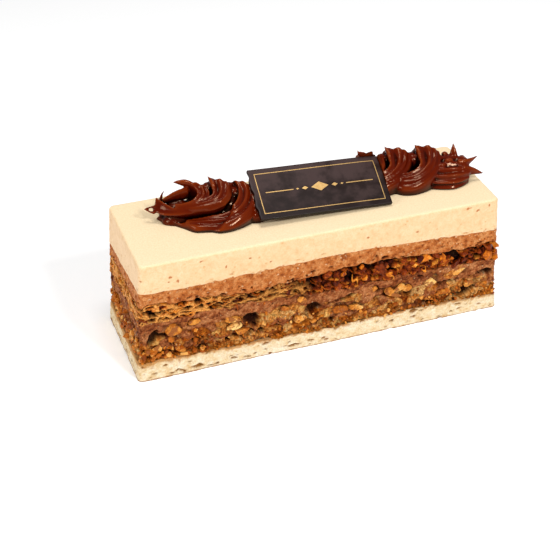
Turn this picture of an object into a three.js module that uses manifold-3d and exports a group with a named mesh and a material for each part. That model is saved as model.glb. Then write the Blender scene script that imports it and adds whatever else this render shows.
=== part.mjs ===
// Hazelnut praline cake: a cut bar of five layers with a piped ganache rope and a chocolate plaque on top.
// Millimetres, +Z up. The origin is the middle of the base, +X runs along the bar and -Y is its front.
import * as THREE from 'three';
import { mergeVertices } from 'three/addons/utils/BufferGeometryUtils.js';
import Module from 'manifold-3d';

const wasm = await Module();
wasm.setup();

// The bar, which is a little longer at its foot than at its top
const cakeHeight = 65;
const baseLength = 191.7;
const topLength = 183.4;
const baseWidth = 60.7;
const topWidth = 60.2;
const cornerRadius = 3;
const outlinePoints = 150;

// Where each layer ends, from the base up: its height at the middle of the bar, how much that changes
// along X and Y, its wave along the bar and how far the edge stands back from the cut face
const boundaries = {
  base: { height: 0, tiltX: 0, tiltY: 0, wave: 0, waveLength: 1, crest: 0, inset: 0 },
  spongeTop: { height: 8.8, tiltX: -0.012, tiltY: 0, wave: 0.4, waveLength: 150, crest: -88, inset: 0.9 },
  nutTop: { height: 29, tiltX: -0.022, tiltY: -0.08, wave: 0.8, waveLength: 100, crest: -40, inset: 1.9 },
  crispTop: { height: 38.9, tiltX: 0, tiltY: -0.06, wave: 1.5, waveLength: 112, crest: 23, inset: 1.6 },
  milkTop: { height: 47.5, tiltX: -0.012, tiltY: -0.08, wave: 1.2, waveLength: 170, crest: 10, inset: 0.5 },
  top: { height: cakeHeight, tiltX: 0, tiltY: 0, wave: 0, waveLength: 1, crest: 0, inset: 1.1 },
};

// Relief of each layer's cut face: the heights of its rows of points, as parts of the layer, how far the
// face stands back, the cells of its noise, the height of its bumps and the depth of its pockets
const evenRows = (count) => Array.from({ length: count + 1 }, (_, i) => i / count);
const spongeFace = { rows: evenRows(2), inset: 0.6, cell: [4, 4, 3], bump: 0.5, pocket: 0 };
const nutFace = { rows: evenRows(6), inset: 1.8, cell: [9, 9, 5], bump: 0.9, pocket: 7 };
const crispFace = { rows: evenRows(5), inset: 1.7, cell: [8, 8, 1.6], bump: 1.5, pocket: 4 };
const milkFace = { rows: evenRows(2), inset: 0.5, cell: [5, 5, 3], bump: 0.3, pocket: 0 };
const creamFace = { rows: [0, 0.5, 0.92, 1], inset: 0.3, cell: [9, 9, 6], bump: 0.15, pocket: 0 };
const pocketStart = 0.3;
const pocketShift = 500;

// Chopped hazelnuts that show in the cut face of the nut cream
const nutCount = 28;
const nutLength = [4, 7.5];
const nutThickness = [2.4, 3.8];
const nutStandsOut = 0.9;
const nutEdge = 3.2;
const nutTurn = 0.3;
const nutSeed = 11;

// The piped rope, with heights above the cake's top. Each strand is a fan of crests between an inner and an
// outer one, which climb from the back to a peak and sweep round to the front and the left. Shares place the
// crests across the fan and bulge raises its middle, first at the peak and then at the strand's end.
const ropeY = 0.5;
const climbSteps = 2;
const strandSteps = 11;
const grooveDepth = 0.36;
const wallHollow = 0.12;
const footPulls = [0.3, -0.45];
const liftStart = 0.55;
const shortestEdge = 0.05;
const ropeLoop = {
  inner: [
    [0.5, 11, 5], [2.7, 3.6, 17.4], [2.5, -1, 14.6], [0.4, -5.2, 12.6], [-3.5, -6.6, 11], [-7.6, -6.2, 9.6],
    [-12.5, -4, 8], [-15.5, -1, 6.5],
  ],
  outer: [
    [12.5, 9, 4], [14.5, 0.4, 12.4], [13.6, -3.8, 10], [10.5, -7.7, 7.5], [5, -11.2, 5], [-3.9, -13.3, 3],
    [-11, -11.2, 2.2], [-15.5, -5.5, 1.5],
  ],
  shares: [[0, 0.42, 0.7, 0.92, 1], [0, 0.15, 0.35, 0.55, 1]],
  bulge: [2.6, 1.2],
};
const loopFin = { root: [2.4, -1.6, 13.4], tip: [1.6, 3.8, 18.4], radius: 1.8 };

// Where the loops stand: x, and how far each is set back and raised
const loopPlaces = [
  [58.5, 0, 0], [43.4, 2.9, 0.4], [28.6, 2.5, 1], [10.5, 1.5, -0.5], [-6, 1, -0.5], [-22.5, 1, -0.5],
];

// The last two loops, a petal and a curl run out into the left end
const lowLoop = {
  inner: [
    [-35, 12, 5], [-33.4, 7.1, 15], [-32.7, 3.1, 13], [-34.9, -2.6, 11], [-39.3, -5.9, 9], [-47.9, -6.3, 6.8],
    [-56.3, -4.3, 5.2], [-64.4, -1.5, 3.6], [-69.6, 3.6, 2.2], [-72.6, 9.5, 1.2],
  ],
  outer: [
    [-26, 8.5, 4], [-24.1, 1.5, 10.5], [-24.1, -4.1, 8], [-28.2, -10.2, 5], [-35, -14, 3], [-43.5, -15.5, 2],
    [-51.5, -14.3, 1.6], [-57.5, -11.3, 1.4], [-62, -5.5, 1], [-66.2, 0.5, 0.6], [-69.4, 6.5, 0.4],
  ],
  shares: [[0, 0.3, 0.6, 0.85, 1], [0, 0.2, 0.45, 0.7, 1]],
  bulge: [2, 1],
};
const highLoop = {
  inner: [
    [-47.5, 12.5, 6], [-45.1, 8.1, 17.8], [-45, 3.8, 15], [-46.8, 0.7, 13.2], [-51.3, 0, 12],
    [-56.5, 0.8, 11.2], [-61.1, 2, 10.4], [-64.5, 3, 9.6],
  ],
  outer: [
    [-37.5, 9.5, 4], [-35.6, 5.2, 13], [-37, -0.5, 10.8], [-41.2, -4.2, 9], [-48.4, -4.8, 8],
    [-55.9, -3.4, 7.4], [-61.1, -0.8, 7], [-64.8, 2, 7],
  ],
  shares: [[0, 0.4, 0.75, 1], [0, 0.3, 0.6, 1]],
  bulge: [1.8, 1],
};
const petal = {
  inner: [
    [-43.1, -4, 11.2], [-48, -3.9, 10.2], [-53.6, -2.6, 9.2], [-59.2, -1.3, 8.8], [-64.1, 0.7, 8.8],
    [-67.5, 3.9, 9.8], [-70.2, 6.5, 11.4], [-72.4, 7.9, 13.4],
  ],
  outer: [
    [-40.8, -4.4, 9], [-47.1, -5.3, 8], [-52.7, -4.2, 7.2], [-58.7, -2.8, 6.6], [-65.2, -1.1, 6.2],
    [-70.5, 1.2, 6], [-73.1, 4, 6.2], [-74.8, 6.2, 6.6],
  ],
  shares: [[0, 1], [0, 1]],
  bulge: [0, 0],
  lift: 0.75,
  peaked: false,
  pulls: [1.8, -0.9],
};
const curl = {
  inner: [
    [-57, 11.5, 8], [-56.4, 8.8, 17.3], [-53.6, 6.5, 15.8], [-53.2, 3.3, 13.6], [-56.5, 0.9, 12],
    [-62.2, 1.6, 10.8], [-66, 5.6, 10.2],
  ],
  outer: [
    [-49.5, 10.5, 7], [-48.6, 6.6, 15.6], [-47.1, 3.7, 13.8], [-48.3, 0, 12.2], [-51.8, -1.5, 11],
    [-58, -0.7, 9.9], [-63.2, 1.9, 9],
  ],
  shares: [[0, 0.5, 1], [0, 0.5, 1]],
  bulge: [0.9, 0.6],
};

// The right end lies along the bar
const rightEnd = {
  inner: [[87, -1, 7.6], [84, 1.5, 8.6], [79, 4, 9.6], [72, 5, 9.4], [63, 6, 8]],
  outer: [[84.6, -10.4, 0.2], [79.7, -13.6, 0.4], [74.7, -15, 0.6], [68.9, -13.4, 0.6], [63, -10.2, 0.4]],
  shares: [[0, 0.2, 0.4, 0.58, 0.76, 0.92, 1], [0, 0.2, 0.4, 0.58, 0.76, 0.92, 1]],
  bulge: [5.6, 5.6],
  peaked: false,
};

// Filling under and between the loops
const ropeCores = [
  { middle: [8, 0, 0], radii: [66, 8, 8] },
  { middle: [-54, 2, 0], radii: [17, 8, 7] },
  { middle: [-38, 3, 0], radii: [8, 7, 10] },
  { middle: [55, 4, 5], radii: [5, 6, 7] },
  { middle: [39.5, 6.5, 5], radii: [5, 6, 7] },
  { middle: [-40, 8, 8], radii: [5, 4, 5] },
  { middle: [-62, 9, 1], radii: [9, 6, 7] },
];

// Fins that the nozzle drew out to points
const fins = [
  { root: [81, -8.8, 6.8], tip: [92.4, -9.9, 3.6], radius: 2.6 },
  { root: [80, -6.8, 9.4], tip: [91, -5.1, 11.2], radius: 2.2 },
  { root: [79, -2.3, 8], tip: [80.3, 1.6, 17], radius: 2.2 },
  { root: [-45, 2.4, 13], tip: [-46.2, 8.6, 18.4], radius: 1.8 },
  { root: [-71.9, 6.3, 8.5], tip: [-78.4, 7.9, 7.2], radius: 0.9 },
  { root: [-54, 9, 15.2], tip: [-63, 10.2, 17.8], radius: 1.7 },
  { root: [-57, 8.7, 11.4], tip: [-70, 9, 8.6], radius: 2.8 },
];

// The plaque, leaning back on the rope: the middle of its lower edge, and its turn, tilt and lean in degrees
const plaqueWidth = 67.4;
const plaqueHeight = 28.2;
const plaqueThickness = 1.8;
const plaqueBevel = 0.3;
const plaqueEdge = [5.6, -17.2, 68.4];
const plaqueYaw = -1.8;
const plaqueTilt = 2.5;
const plaqueLean = 29;
const plaqueGap = 0.3;

// Repeatable value noise from -1 to 1, with bumps one cell wide
function lattice(i, j, k) {
  const mixed = Math.sin(i * 127.1 + j * 311.7 + k * 74.7) * 43758.5453;
  return 2 * (mixed - Math.floor(mixed)) - 1;
}

function bumps(x, y, z, cell) {
  const at = [x / cell[0], y / cell[1], z / cell[2]];
  const low = at.map(Math.floor);
  const part = at.map((value, axis) => THREE.MathUtils.smoothstep(value - low[axis], 0, 1));
  let sum = 0;
  for (let corner = 0; corner < 8; corner++) {
    const step = [corner & 1, (corner >> 1) & 1, corner >> 2];
    const weight = step.reduce((w, s, axis) => w * (s ? part[axis] : 1 - part[axis]), 1);
    sum += weight * lattice(low[0] + step[0], low[1] + step[1], low[2] + step[2]);
  }
  return sum;
}

// Repeatable random draws from 0 to 1
function drawsFrom(seed) {
  let state = seed;
  return () => {
    state = (state * 16807) % 2147483647;
    return state / 2147483647;
  };
}

// Closed geometries and solids that can be joined and cut
function closed(geometry) {
  const bare = geometry.clone();
  bare.deleteAttribute('normal');
  bare.deleteAttribute('uv');
  return mergeVertices(bare, 1e-4);
}

function solidOf(geometry) {
  const whole = closed(geometry);
  const vertProperties = new Float32Array(whole.attributes.position.array);
  const triVerts = new Uint32Array(whole.index.array);
  return new wasm.Manifold(new wasm.Mesh({ numProp: 3, vertProperties, triVerts }));
}

function geometryOf(solid) {
  const mesh = solid.getMesh();
  const geometry = new THREE.BufferGeometry();
  geometry.setAttribute('position', new THREE.BufferAttribute(mesh.vertProperties, 3));
  geometry.setIndex(new THREE.BufferAttribute(mesh.triVerts, 1));
  return geometry;
}

function largestPiece(solid) {
  return solid.decompose().sort((a, b) => b.volume() - a.volume())[0];
}

function eachVertex(geometry, move) {
  const position = geometry.attributes.position;
  const point = new THREE.Vector3();
  for (let i = 0; i < position.count; i++) {
    point.fromBufferAttribute(position, i);
    move(point);
    position.setXYZ(i, point.x, point.y, point.z);
  }
  return geometry;
}

// The bar's outline at its foot
function barOutline() {
  const halfX = baseLength / 2;
  const halfY = baseWidth / 2;
  const r = cornerRadius;
  const outline = new THREE.Shape();
  outline.moveTo(-halfX + r, -halfY);
  outline.lineTo(halfX - r, -halfY);
  outline.absarc(halfX - r, -halfY + r, r, -Math.PI / 2, 0);
  outline.lineTo(halfX, halfY - r);
  outline.absarc(halfX - r, halfY - r, r, 0, Math.PI / 2);
  outline.lineTo(-halfX + r, halfY);
  outline.absarc(-halfX + r, halfY - r, r, Math.PI / 2, Math.PI);
  outline.lineTo(-halfX, -halfY + r);
  outline.absarc(-halfX + r, -halfY + r, r, Math.PI, Math.PI * 1.5);
  return new THREE.Shape(outline.getSpacedPoints(outlinePoints).slice(0, outlinePoints));
}

// The direction that faces out of the bar at a point of its outline
function outwardAt(x, y) {
  const overX = Math.max(Math.abs(x) - (baseLength / 2 - cornerRadius), 0);
  const overY = Math.max(Math.abs(y) - (baseWidth / 2 - cornerRadius), 0);
  return new THREE.Vector2(Math.sign(x) * overX, Math.sign(y) * overY).normalize();
}

function heightAt(edge, x, y) {
  const wave = edge.wave * Math.cos((2 * Math.PI * (x - edge.crest)) / edge.waveLength);
  return edge.height + edge.tiltX * x + edge.tiltY * y + wave;
}

// The point of the tapering side at a height, set back by an inset; x and y lie on the foot's outline
function sidePoint(x, y, z, inset) {
  const level = z / cakeHeight;
  const shrinkX = THREE.MathUtils.lerp(1, topLength / baseLength, level);
  const shrinkY = THREE.MathUtils.lerp(1, topWidth / baseWidth, level);
  const out = outwardAt(x, y);
  return new THREE.Vector3(x * shrinkX - out.x * inset, y * shrinkY - out.y * inset, z);
}

function faceInset(face, x, y, z) {
  const pocket = face.pocket * Math.max(bumps(x + pocketShift, y, z, face.cell) - pocketStart, 0);
  return Math.max(face.inset + face.bump * bumps(x, y, z, face.cell), 0) + pocket;
}

// A layer from one boundary to the next; neighbours share the points of their common boundary
function layerGeometry(below, above, face) {
  const steps = face.rows.length - 1;
  const block = new THREE.ExtrudeGeometry(barOutline(), { depth: steps, steps, bevelEnabled: false });
  return eachVertex(closed(block), (p) => {
    const row = Math.round(p.z);
    const z = THREE.MathUtils.lerp(heightAt(below, p.x, p.y), heightAt(above, p.x, p.y), face.rows[row]);
    const edgeInset = { 0: below.inset, [steps]: above.inset }[row];
    p.copy(sidePoint(p.x, p.y, z, edgeInset ?? faceInset(face, p.x, p.y, z)));
  });
}

// The nut cream with chopped nuts spread round its cut faces, each sunk to the same depth in the face
function nutCreamGeometry() {
  const draw = drawsFrom(nutSeed);
  const between = (low, high) => THREE.MathUtils.lerp(low, high, draw());
  let solid = solidOf(layerGeometry(boundaries.spongeTop, boundaries.nutTop, nutFace));
  for (const spot of barOutline().getSpacedPoints(nutCount).slice(0, nutCount)) {
    const low = heightAt(boundaries.spongeTop, spot.x, spot.y) + nutEdge;
    const high = heightAt(boundaries.nutTop, spot.x, spot.y) - nutEdge;
    const thickness = between(...nutThickness);
    const sunk = nutFace.inset - nutStandsOut + thickness / 2;
    const centre = sidePoint(spot.x, spot.y, between(low, high), sunk);
    const out = outwardAt(spot.x, spot.y);
    const nut = new THREE.IcosahedronGeometry(0.5, 0);
    nut.scale(between(...nutLength), thickness, between(...nutThickness));
    nut.rotateY(between(-nutTurn, nutTurn));
    nut.rotateZ(Math.atan2(out.y, out.x) + Math.PI / 2);
    solid = solid.add(solidOf(nut.translate(centre.x, centre.y, centre.z)));
  }
  return geometryOf(largestPiece(solid));
}

// A peaked crest is straight up to its peak, which is its second knot, and smooth from there
function crestLine(knots, peaked) {
  const points = knots.map((knot) => new THREE.Vector3(...knot));
  const smooth = new THREE.CatmullRomCurve3(peaked ? points.slice(1) : points, false, 'catmullrom');
  const line = smooth.getPoints(strandSteps);
  if (!peaked) return line;
  const climb = evenRows(climbSteps).slice(0, -1).map((share) => points[0].clone().lerp(points[1], share));
  return [...climb, ...line];
}

const meanOf = (points) => {
  const sum = points.reduce((total, point) => total.add(point), new THREE.Vector3());
  return sum.divideScalar(points.length);
};

// One ring round a strand: crests with a groove between each two, a foot on either side and a hollow wall
function strandRing(from, to, strand, gone, rise) {
  const { shares, bulge, pulls = footPulls, peaked = true } = strand;
  const across = to.clone().sub(from);
  const unit = across.clone().normalize();
  const above = new THREE.Vector3(0, 0, 1).addScaledVector(unit, -unit.z).normalize();
  const height = THREE.MathUtils.lerp(...bulge, gone);
  const tops = shares[0].map((atPeak, i) => {
    const share = THREE.MathUtils.lerp(atPeak, shares[1][i], gone);
    const top = from.clone().addScaledVector(across, share);
    return top.addScaledVector(above, height * Math.sqrt(4 * share * (1 - share)));
  });
  const middle = meanOf(tops);
  const heart = middle.clone().setZ(middle.z * 0.3);
  const sunk = (a, b, depth) => {
    const point = a.clone().lerp(b, 0.5);
    return point.addScaledVector(heart.clone().sub(point).normalize(), depth * a.distanceTo(b));
  };
  const foot = (top, pull) => top.clone().lerp(middle, pull).setZ(-1 + rise * (top.z - 1));
  const innerFoot = foot(from, pulls[1]);
  const ring = tops.slice(1).flatMap((top, i) => [tops[i], sunk(tops[i], top, grooveDepth)]);
  return [...ring, to, foot(to, pulls[0]), innerFoot, sunk(innerFoot, from, peaked ? wallHollow : 0)];
}

function strandGeometry(strand) {
  const { inner, outer, lift = 0, peaked = true } = strand;
  const from = crestLine(inner, peaked);
  const to = crestLine(outer, peaked);
  const rows = from.length - 1;
  const rings = from.map((start, row) => {
    const gone = Math.max(row - (rows - strandSteps), 0) / strandSteps;
    const rise = lift * THREE.MathUtils.smoothstep(row / rows, liftStart, 1);
    return strandRing(start, to[row], strand, gone, rise);
  });
  const columns = rings[0].length;
  const skin = closed(new THREE.CylinderGeometry(1, 1, 1, columns, rows));
  return eachVertex(skin, (p) => {
    const ring = rings[Math.round((0.5 - p.y) * rows)];
    const turn = Math.atan2(p.x, p.z) / (2 * Math.PI) + 1;
    const column = Math.round(turn * columns) % columns;
    p.copy(Math.hypot(p.x, p.z) > 0.5 ? ring[column] : meanOf(ring));
  });
}

function finGeometry({ root, tip, radius }) {
  const from = new THREE.Vector3(...root);
  const along = new THREE.Vector3(...tip).sub(from);
  const fin = new THREE.ConeGeometry(radius, along.length(), 5).translate(0, along.length() / 2, 0);
  const turn = new THREE.Quaternion().setFromUnitVectors(new THREE.Vector3(0, 1, 0), along.normalize());
  return fin.applyQuaternion(turn).translate(...root);
}

function plaqueOutline(grow) {
  const half = plaqueWidth / 2 + grow;
  const outline = new THREE.Shape();
  outline.moveTo(-half, -grow);
  outline.lineTo(half, -grow);
  outline.lineTo(half, plaqueHeight + grow);
  outline.lineTo(-half, plaqueHeight + grow);
  return outline;
}

function setOnRope(object) {
  const turn = THREE.MathUtils.degToRad;
  object.position.set(...plaqueEdge);
  object.rotation.set(turn(plaqueLean), turn(plaqueTilt), turn(plaqueYaw), 'ZYX');
  return object;
}

// The room that the plaque takes up in the rope and above it
function plaqueRoom() {
  const reach = 40;
  const room = new THREE.ExtrudeGeometry(plaqueOutline(plaqueGap), { depth: reach, bevelEnabled: false });
  room.translate(0, 0, -plaqueThickness - plaqueGap);
  const place = setOnRope(new THREE.Object3D());
  place.updateMatrix();
  return room.applyMatrix4(place.matrix);
}

function ropeGeometry() {
  const parts = [lowLoop, highLoop, petal, curl, rightEnd].map(strandGeometry).concat(fins.map(finGeometry));
  for (const [x, back, raised] of loopPlaces) {
    parts.push(strandGeometry(ropeLoop).translate(x, back, raised));
    parts.push(finGeometry(loopFin).translate(x, back, raised));
  }
  for (const { middle, radii } of ropeCores) {
    const core = new THREE.SphereGeometry(1, 10, 8).rotateZ(Math.PI / 2).scale(...radii);
    parts.push(core.translate(...middle));
  }
  const depth = 40;
  const under = new THREE.BoxGeometry(baseLength * 2, baseWidth * 2, depth);
  under.translate(0, 0, cakeHeight - depth / 2);
  const onTop = parts.map((part) => solidOf(part.translate(0, ropeY, cakeHeight)));
  const joined = onTop.reduce((whole, part) => whole.add(part));
  const cut = joined.subtract(solidOf(under)).subtract(solidOf(plaqueRoom()));
  return geometryOf(largestPiece(cut.simplify(shortestEdge)));
}

function plaqueGeometry() {
  const slab = new THREE.ExtrudeGeometry(plaqueOutline(-plaqueBevel), {
    depth: plaqueThickness - 2 * plaqueBevel,
    bevelSize: plaqueBevel,
    bevelThickness: plaqueBevel,
    bevelSegments: 1,
  });
  return slab.translate(0, 0, plaqueBevel - plaqueThickness);
}

// Finishes
const finishes = {
  sponge: { color: 0xe9d2a6, roughness: 0.9, metalness: 0 },
  nutCream: { color: 0x7d5a42, roughness: 0.7, metalness: 0 },
  crisp: { color: 0xb06a2a, roughness: 0.6, metalness: 0 },
  milkMousse: { color: 0xb9794c, roughness: 0.75, metalness: 0 },
  creamMousse: { color: 0xf5dfb4, roughness: 0.55, metalness: 0 },
  ganache: { color: 0x4a1d0e, roughness: 0.25, metalness: 0 },
  plaque: { color: 0x2b2020, roughness: 0.35, metalness: 0 },
};

const cake = new THREE.Group();

function addPiece(name, geometry, finish) {
  const mesh = new THREE.Mesh(geometry, new THREE.MeshStandardMaterial(finish));
  mesh.name = name;
  cake.add(mesh);
  return mesh;
}

const { base, spongeTop, nutTop, crispTop, milkTop, top } = boundaries;
addPiece('sponge_base', layerGeometry(base, spongeTop, spongeFace), finishes.sponge);
addPiece('nut_praline_cream', nutCreamGeometry(), finishes.nutCream);
addPiece('crisp_layer', layerGeometry(nutTop, crispTop, crispFace), finishes.crisp);
addPiece('milk_chocolate_mousse', layerGeometry(crispTop, milkTop, milkFace), finishes.milkMousse);
addPiece('cream_mousse', layerGeometry(milkTop, top, creamFace), finishes.creamMousse);
addPiece('piped_ganache', ropeGeometry(), finishes.ganache);
setOnRope(addPiece('chocolate_plaque', plaqueGeometry(), finishes.plaque));

export default cake;
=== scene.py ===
import math

import bmesh
import bpy
import numpy as np
from mathutils import Matrix, Vector
from mathutils.bvhtree import BVHTree


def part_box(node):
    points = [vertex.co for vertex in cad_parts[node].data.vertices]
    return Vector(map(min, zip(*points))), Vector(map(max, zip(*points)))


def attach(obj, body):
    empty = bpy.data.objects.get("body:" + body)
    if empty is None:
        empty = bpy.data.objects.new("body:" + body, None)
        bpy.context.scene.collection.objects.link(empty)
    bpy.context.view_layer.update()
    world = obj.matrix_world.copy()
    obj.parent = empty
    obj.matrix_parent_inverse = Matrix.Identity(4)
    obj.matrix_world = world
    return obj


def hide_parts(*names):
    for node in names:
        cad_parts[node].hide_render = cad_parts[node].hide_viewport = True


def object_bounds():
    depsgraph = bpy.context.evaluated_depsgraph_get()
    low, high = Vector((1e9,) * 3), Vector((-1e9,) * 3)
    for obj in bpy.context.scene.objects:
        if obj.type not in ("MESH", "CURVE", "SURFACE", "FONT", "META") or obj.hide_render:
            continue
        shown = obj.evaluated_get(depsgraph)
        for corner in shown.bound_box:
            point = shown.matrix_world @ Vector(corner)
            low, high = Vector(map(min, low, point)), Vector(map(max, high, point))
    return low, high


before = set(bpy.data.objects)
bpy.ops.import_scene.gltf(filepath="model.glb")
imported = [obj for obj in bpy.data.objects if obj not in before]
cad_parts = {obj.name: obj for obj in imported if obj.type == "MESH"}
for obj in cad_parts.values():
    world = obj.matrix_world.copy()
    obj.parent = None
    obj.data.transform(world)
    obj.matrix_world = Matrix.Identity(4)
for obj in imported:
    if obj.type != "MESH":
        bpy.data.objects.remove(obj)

cadLow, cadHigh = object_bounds()
_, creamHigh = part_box("cream_mousse")
mm = 0.001
scene = bpy.context.scene
scene.view_settings.view_transform = "Standard"

# The bar, in millimetres: its foot fills the frame's box, and it narrows a little to the top
bar = {
    "length": (cadHigh.x - cadLow.x) / mm,
    "width": (cadHigh.y - cadLow.y) / mm,
    "height": creamHigh.z / mm,
    "endTaper": 4.15,
    "sideTaper": 0.25,
    "corner": 3.0,
    "cornerSteps": 12,
    "raggedCell": 5.0,
}

# Where the layers meet: height, slopes along and across, wave, its length and crest,
# and how ragged the line is
edges = {
    "base": (0, 0, 0, 0, 1, 0, 0),
    "spongeTop": (8.8, -0.012, 0, 0.4, 150, -88, 0.7),
    "nutTop": (29.0, -0.022, -0.08, 0.8, 100, -40, 0.9),
    "crispTop": (38.9, 0, -0.06, 1.5, 112, 23, 1.0),
    "milkTop": (47.5, -0.012, -0.08, 1.2, 170, 10, 0.5),
}

# Repeatable noise on points in millimetres
latticeSteps = np.array([374761393, 668265263, 1274126177], np.int64)
lowBits = np.uint64(0xFFFFFFFF)


def latticeDraw(cells, seed):
    mixed = (cells @ latticeSteps + seed * 9746347).astype(np.uint64) & lowBits
    for shift, factor in ((15, 2246822519), (13, 3266489917)):
        mixed = ((mixed ^ (mixed >> np.uint64(shift))) * np.uint64(factor)) & lowBits
    return (mixed ^ (mixed >> np.uint64(16))).astype(float) / float(lowBits)


def softNoise(points, cell, seed):
    at = points / np.asarray(cell, float)
    low = np.floor(at).astype(np.int64)
    part = at - low
    part = part * part * (3 - 2 * part)
    total = np.zeros(len(points))
    for corner in np.ndindex(2, 2, 2):
        weight = np.prod(np.where(corner, part, 1 - part), axis=1)
        total += weight * latticeDraw(low + np.array(corner), seed)
    return 2 * total - 1


def roughNoise(points, cell, seed, octaves=3):
    cell = np.asarray(cell, float)
    return sum(softNoise(points, cell / 2**step, seed + step) / 2**step for step in range(octaves))


# The cells around each point: their addresses, and how far off their seeded middles are
def cellsAround(points, cell, seed):
    at = points / np.asarray(cell, float)
    low = np.floor(at).astype(np.int64)
    for step in np.ndindex(3, 3, 3):
        home = low + np.array(step) - 1
        middle = home + np.stack([latticeDraw(home, seed + axis) for axis in (1, 2, 3)], axis=1)
        yield home, np.linalg.norm(at - middle, axis=1)


# Round hollows with seeded places and sizes: 1 at the middle of a hollow, 0 outside it
def hollows(points, cell, chance, sizes, seed):
    depth = np.zeros(len(points))
    for home, away in cellsAround(points, cell, seed):
        size = sizes[0] + (sizes[1] - sizes[0]) * latticeDraw(home, seed + 4)
        size = np.where(latticeDraw(home, seed + 5) < chance, size, 1e-6)
        depth = np.maximum(depth, 1 - away / size)
    return depth


# How near the nearest and the next middle are, and the nearest cell's address
def cellsNear(points, cell, seed):
    near = np.full(len(points), 9.0)  # further than any
    following = near
    address = np.zeros((len(points), 3), np.int64)
    for home, away in cellsAround(points, cell, seed):
        following = np.minimum(following, np.maximum(near, away))
        address = np.where((away < near)[:, None], home, address)
        near = np.minimum(near, away)
    return near, following, address


# Points shaken about by noise, so that cells get crooked borders
def shaken(points, cell, reach, seed):
    shifts = [softNoise(points, cell, seed + axis) for axis in (1, 2, 3)]
    return points + reach * np.stack(shifts, axis=1)


def smoothStep(value, low, high):
    share = np.clip((value - low) / (high - low), 0, 1)
    return share * share * (3 - 2 * share)


# The bar's outline at its foot, from the middle of the back and anticlockwise
def barOutline():
    flatX = bar["length"] / 2 - bar["corner"]
    flatY = bar["width"] / 2 - bar["corner"]
    points = [(0, bar["width"] / 2)]
    for signX, signY, first in ((-1, 1, 90), (-1, -1, 180), (1, -1, 270), (1, 1, 360)):
        for angle in np.radians(np.linspace(first, first + 90, bar["cornerSteps"] + 1)):
            points.append((signX * flatX + bar["corner"] * math.cos(angle),
                           signY * flatY + bar["corner"] * math.sin(angle)))
    points.append(points[0])
    points = np.array(points)
    run = np.concatenate([[0], np.cumsum(np.linalg.norm(np.diff(points, axis=0), axis=1))])
    return points, run


outlinePoints, outlineRun = barOutline()


def outlineAt(around):
    at = np.asarray(around) * outlineRun[-1]
    x = np.interp(at, outlineRun, outlinePoints[:, 0])
    y = np.interp(at, outlineRun, outlinePoints[:, 1])
    overX = np.maximum(np.abs(x) - bar["length"] / 2 + bar["corner"], 0) * np.sign(x)
    overY = np.maximum(np.abs(y) - bar["width"] / 2 + bar["corner"], 0) * np.sign(y)
    outward = np.stack([overX, overY, np.zeros_like(x)], axis=1)
    return x, y, outward / np.linalg.norm(outward, axis=1)[:, None]


def edgeHeight(name, x, y):
    height, tiltX, tiltY, wave, waveLength, crest, ragged = edges[name]
    flat = np.stack([x, y, np.full_like(x, height)], axis=1)
    swell = wave * np.cos(2 * math.pi * (x - crest) / waveLength)
    uneven = ragged * roughNoise(flat, bar["raggedCell"], int(height * 10), 4)
    return height + tiltX * x + tiltY * y + swell + uneven


def tapered(x, y, z):
    shareX = 1 - 2 * bar["endTaper"] / bar["length"] * z / bar["height"]
    shareY = 1 - 2 * bar["sideTaper"] / bar["width"] * z / bar["height"]
    return np.stack([x * shareX, y * shareY, z], axis=1)


# Values or colours on a mesh's points, for its material to read
def writeMark(mesh, name, values):
    values = np.asarray(values, np.float32)
    kind, field = ("FLOAT_COLOR", "color") if values.ndim == 2 else ("FLOAT", "value")
    mesh.attributes.new(name, kind, "POINT").data.foreach_set(field, values.ravel())


def smoothOver(bm, factor):
    bmesh.ops.smooth_vert(bm, verts=bm.verts, factor=factor, use_axis_x=True, use_axis_y=True,
                          use_axis_z=True)


def fillHoles(bm):
    bmesh.ops.holes_fill(bm, edges=[e for e in bm.edges if e.is_boundary], sides=0)


# A flat grid whose columns close on themselves; place gives each corner's spot and its marks
def wrapGrid(columns, rows, place):
    bm = bmesh.new()
    bmesh.ops.create_grid(bm, x_segments=columns, y_segments=rows, size=1.0)
    mesh = meshFrom(bm, "wrap")
    flat = np.empty(len(mesh.vertices) * 3, np.float32)
    mesh.vertices.foreach_get("co", flat)
    flat = (flat.reshape(-1, 3) + 1) / 2
    column = np.round(flat[:, 0] * columns).astype(int) % columns
    row = np.round(flat[:, 1] * rows).astype(int)
    spots, marks = place(column / columns, row / rows)
    mesh.vertices.foreach_set("co", (spots * mm).astype(np.float32).ravel())
    for name, values in marks.items():
        writeMark(mesh, name, values)
    bm = bmesh.new()
    bm.from_mesh(mesh)
    bpy.data.meshes.remove(mesh)
    bmesh.ops.remove_doubles(bm, verts=[v for v in bm.verts if v.is_boundary], dist=mm / 1000)
    fillHoles(bm)
    bmesh.ops.recalc_face_normals(bm, faces=bm.faces)
    return bm


def meshFrom(bm, name):
    mesh = bpy.data.meshes.new(name)
    bm.to_mesh(mesh)
    bm.free()
    return mesh


def addPiece(name, mesh, material, node, sharpAngle=60):
    mesh.shade_smooth()
    mesh.set_sharp_from_angle(angle=math.radians(sharpAngle))
    mesh.materials.clear()
    mesh.materials.append(material)
    piece = bpy.data.objects.new(name, mesh)
    scene.collection.objects.link(piece)
    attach(piece, "root")
    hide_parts(node)
    triangles = sum(len(polygon.vertices) - 2 for polygon in mesh.polygons)
    print("made", name, "with", triangles, "triangles")


# Shader helpers
def tint(red, green, blue):
    shares = np.array([red, green, blue]) / 255
    linear = np.where(shares <= 0.04045, shares / 12.92, ((shares + 0.055) / 1.055) ** 2.4)
    return (*linear.tolist(), 1.0)


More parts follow.
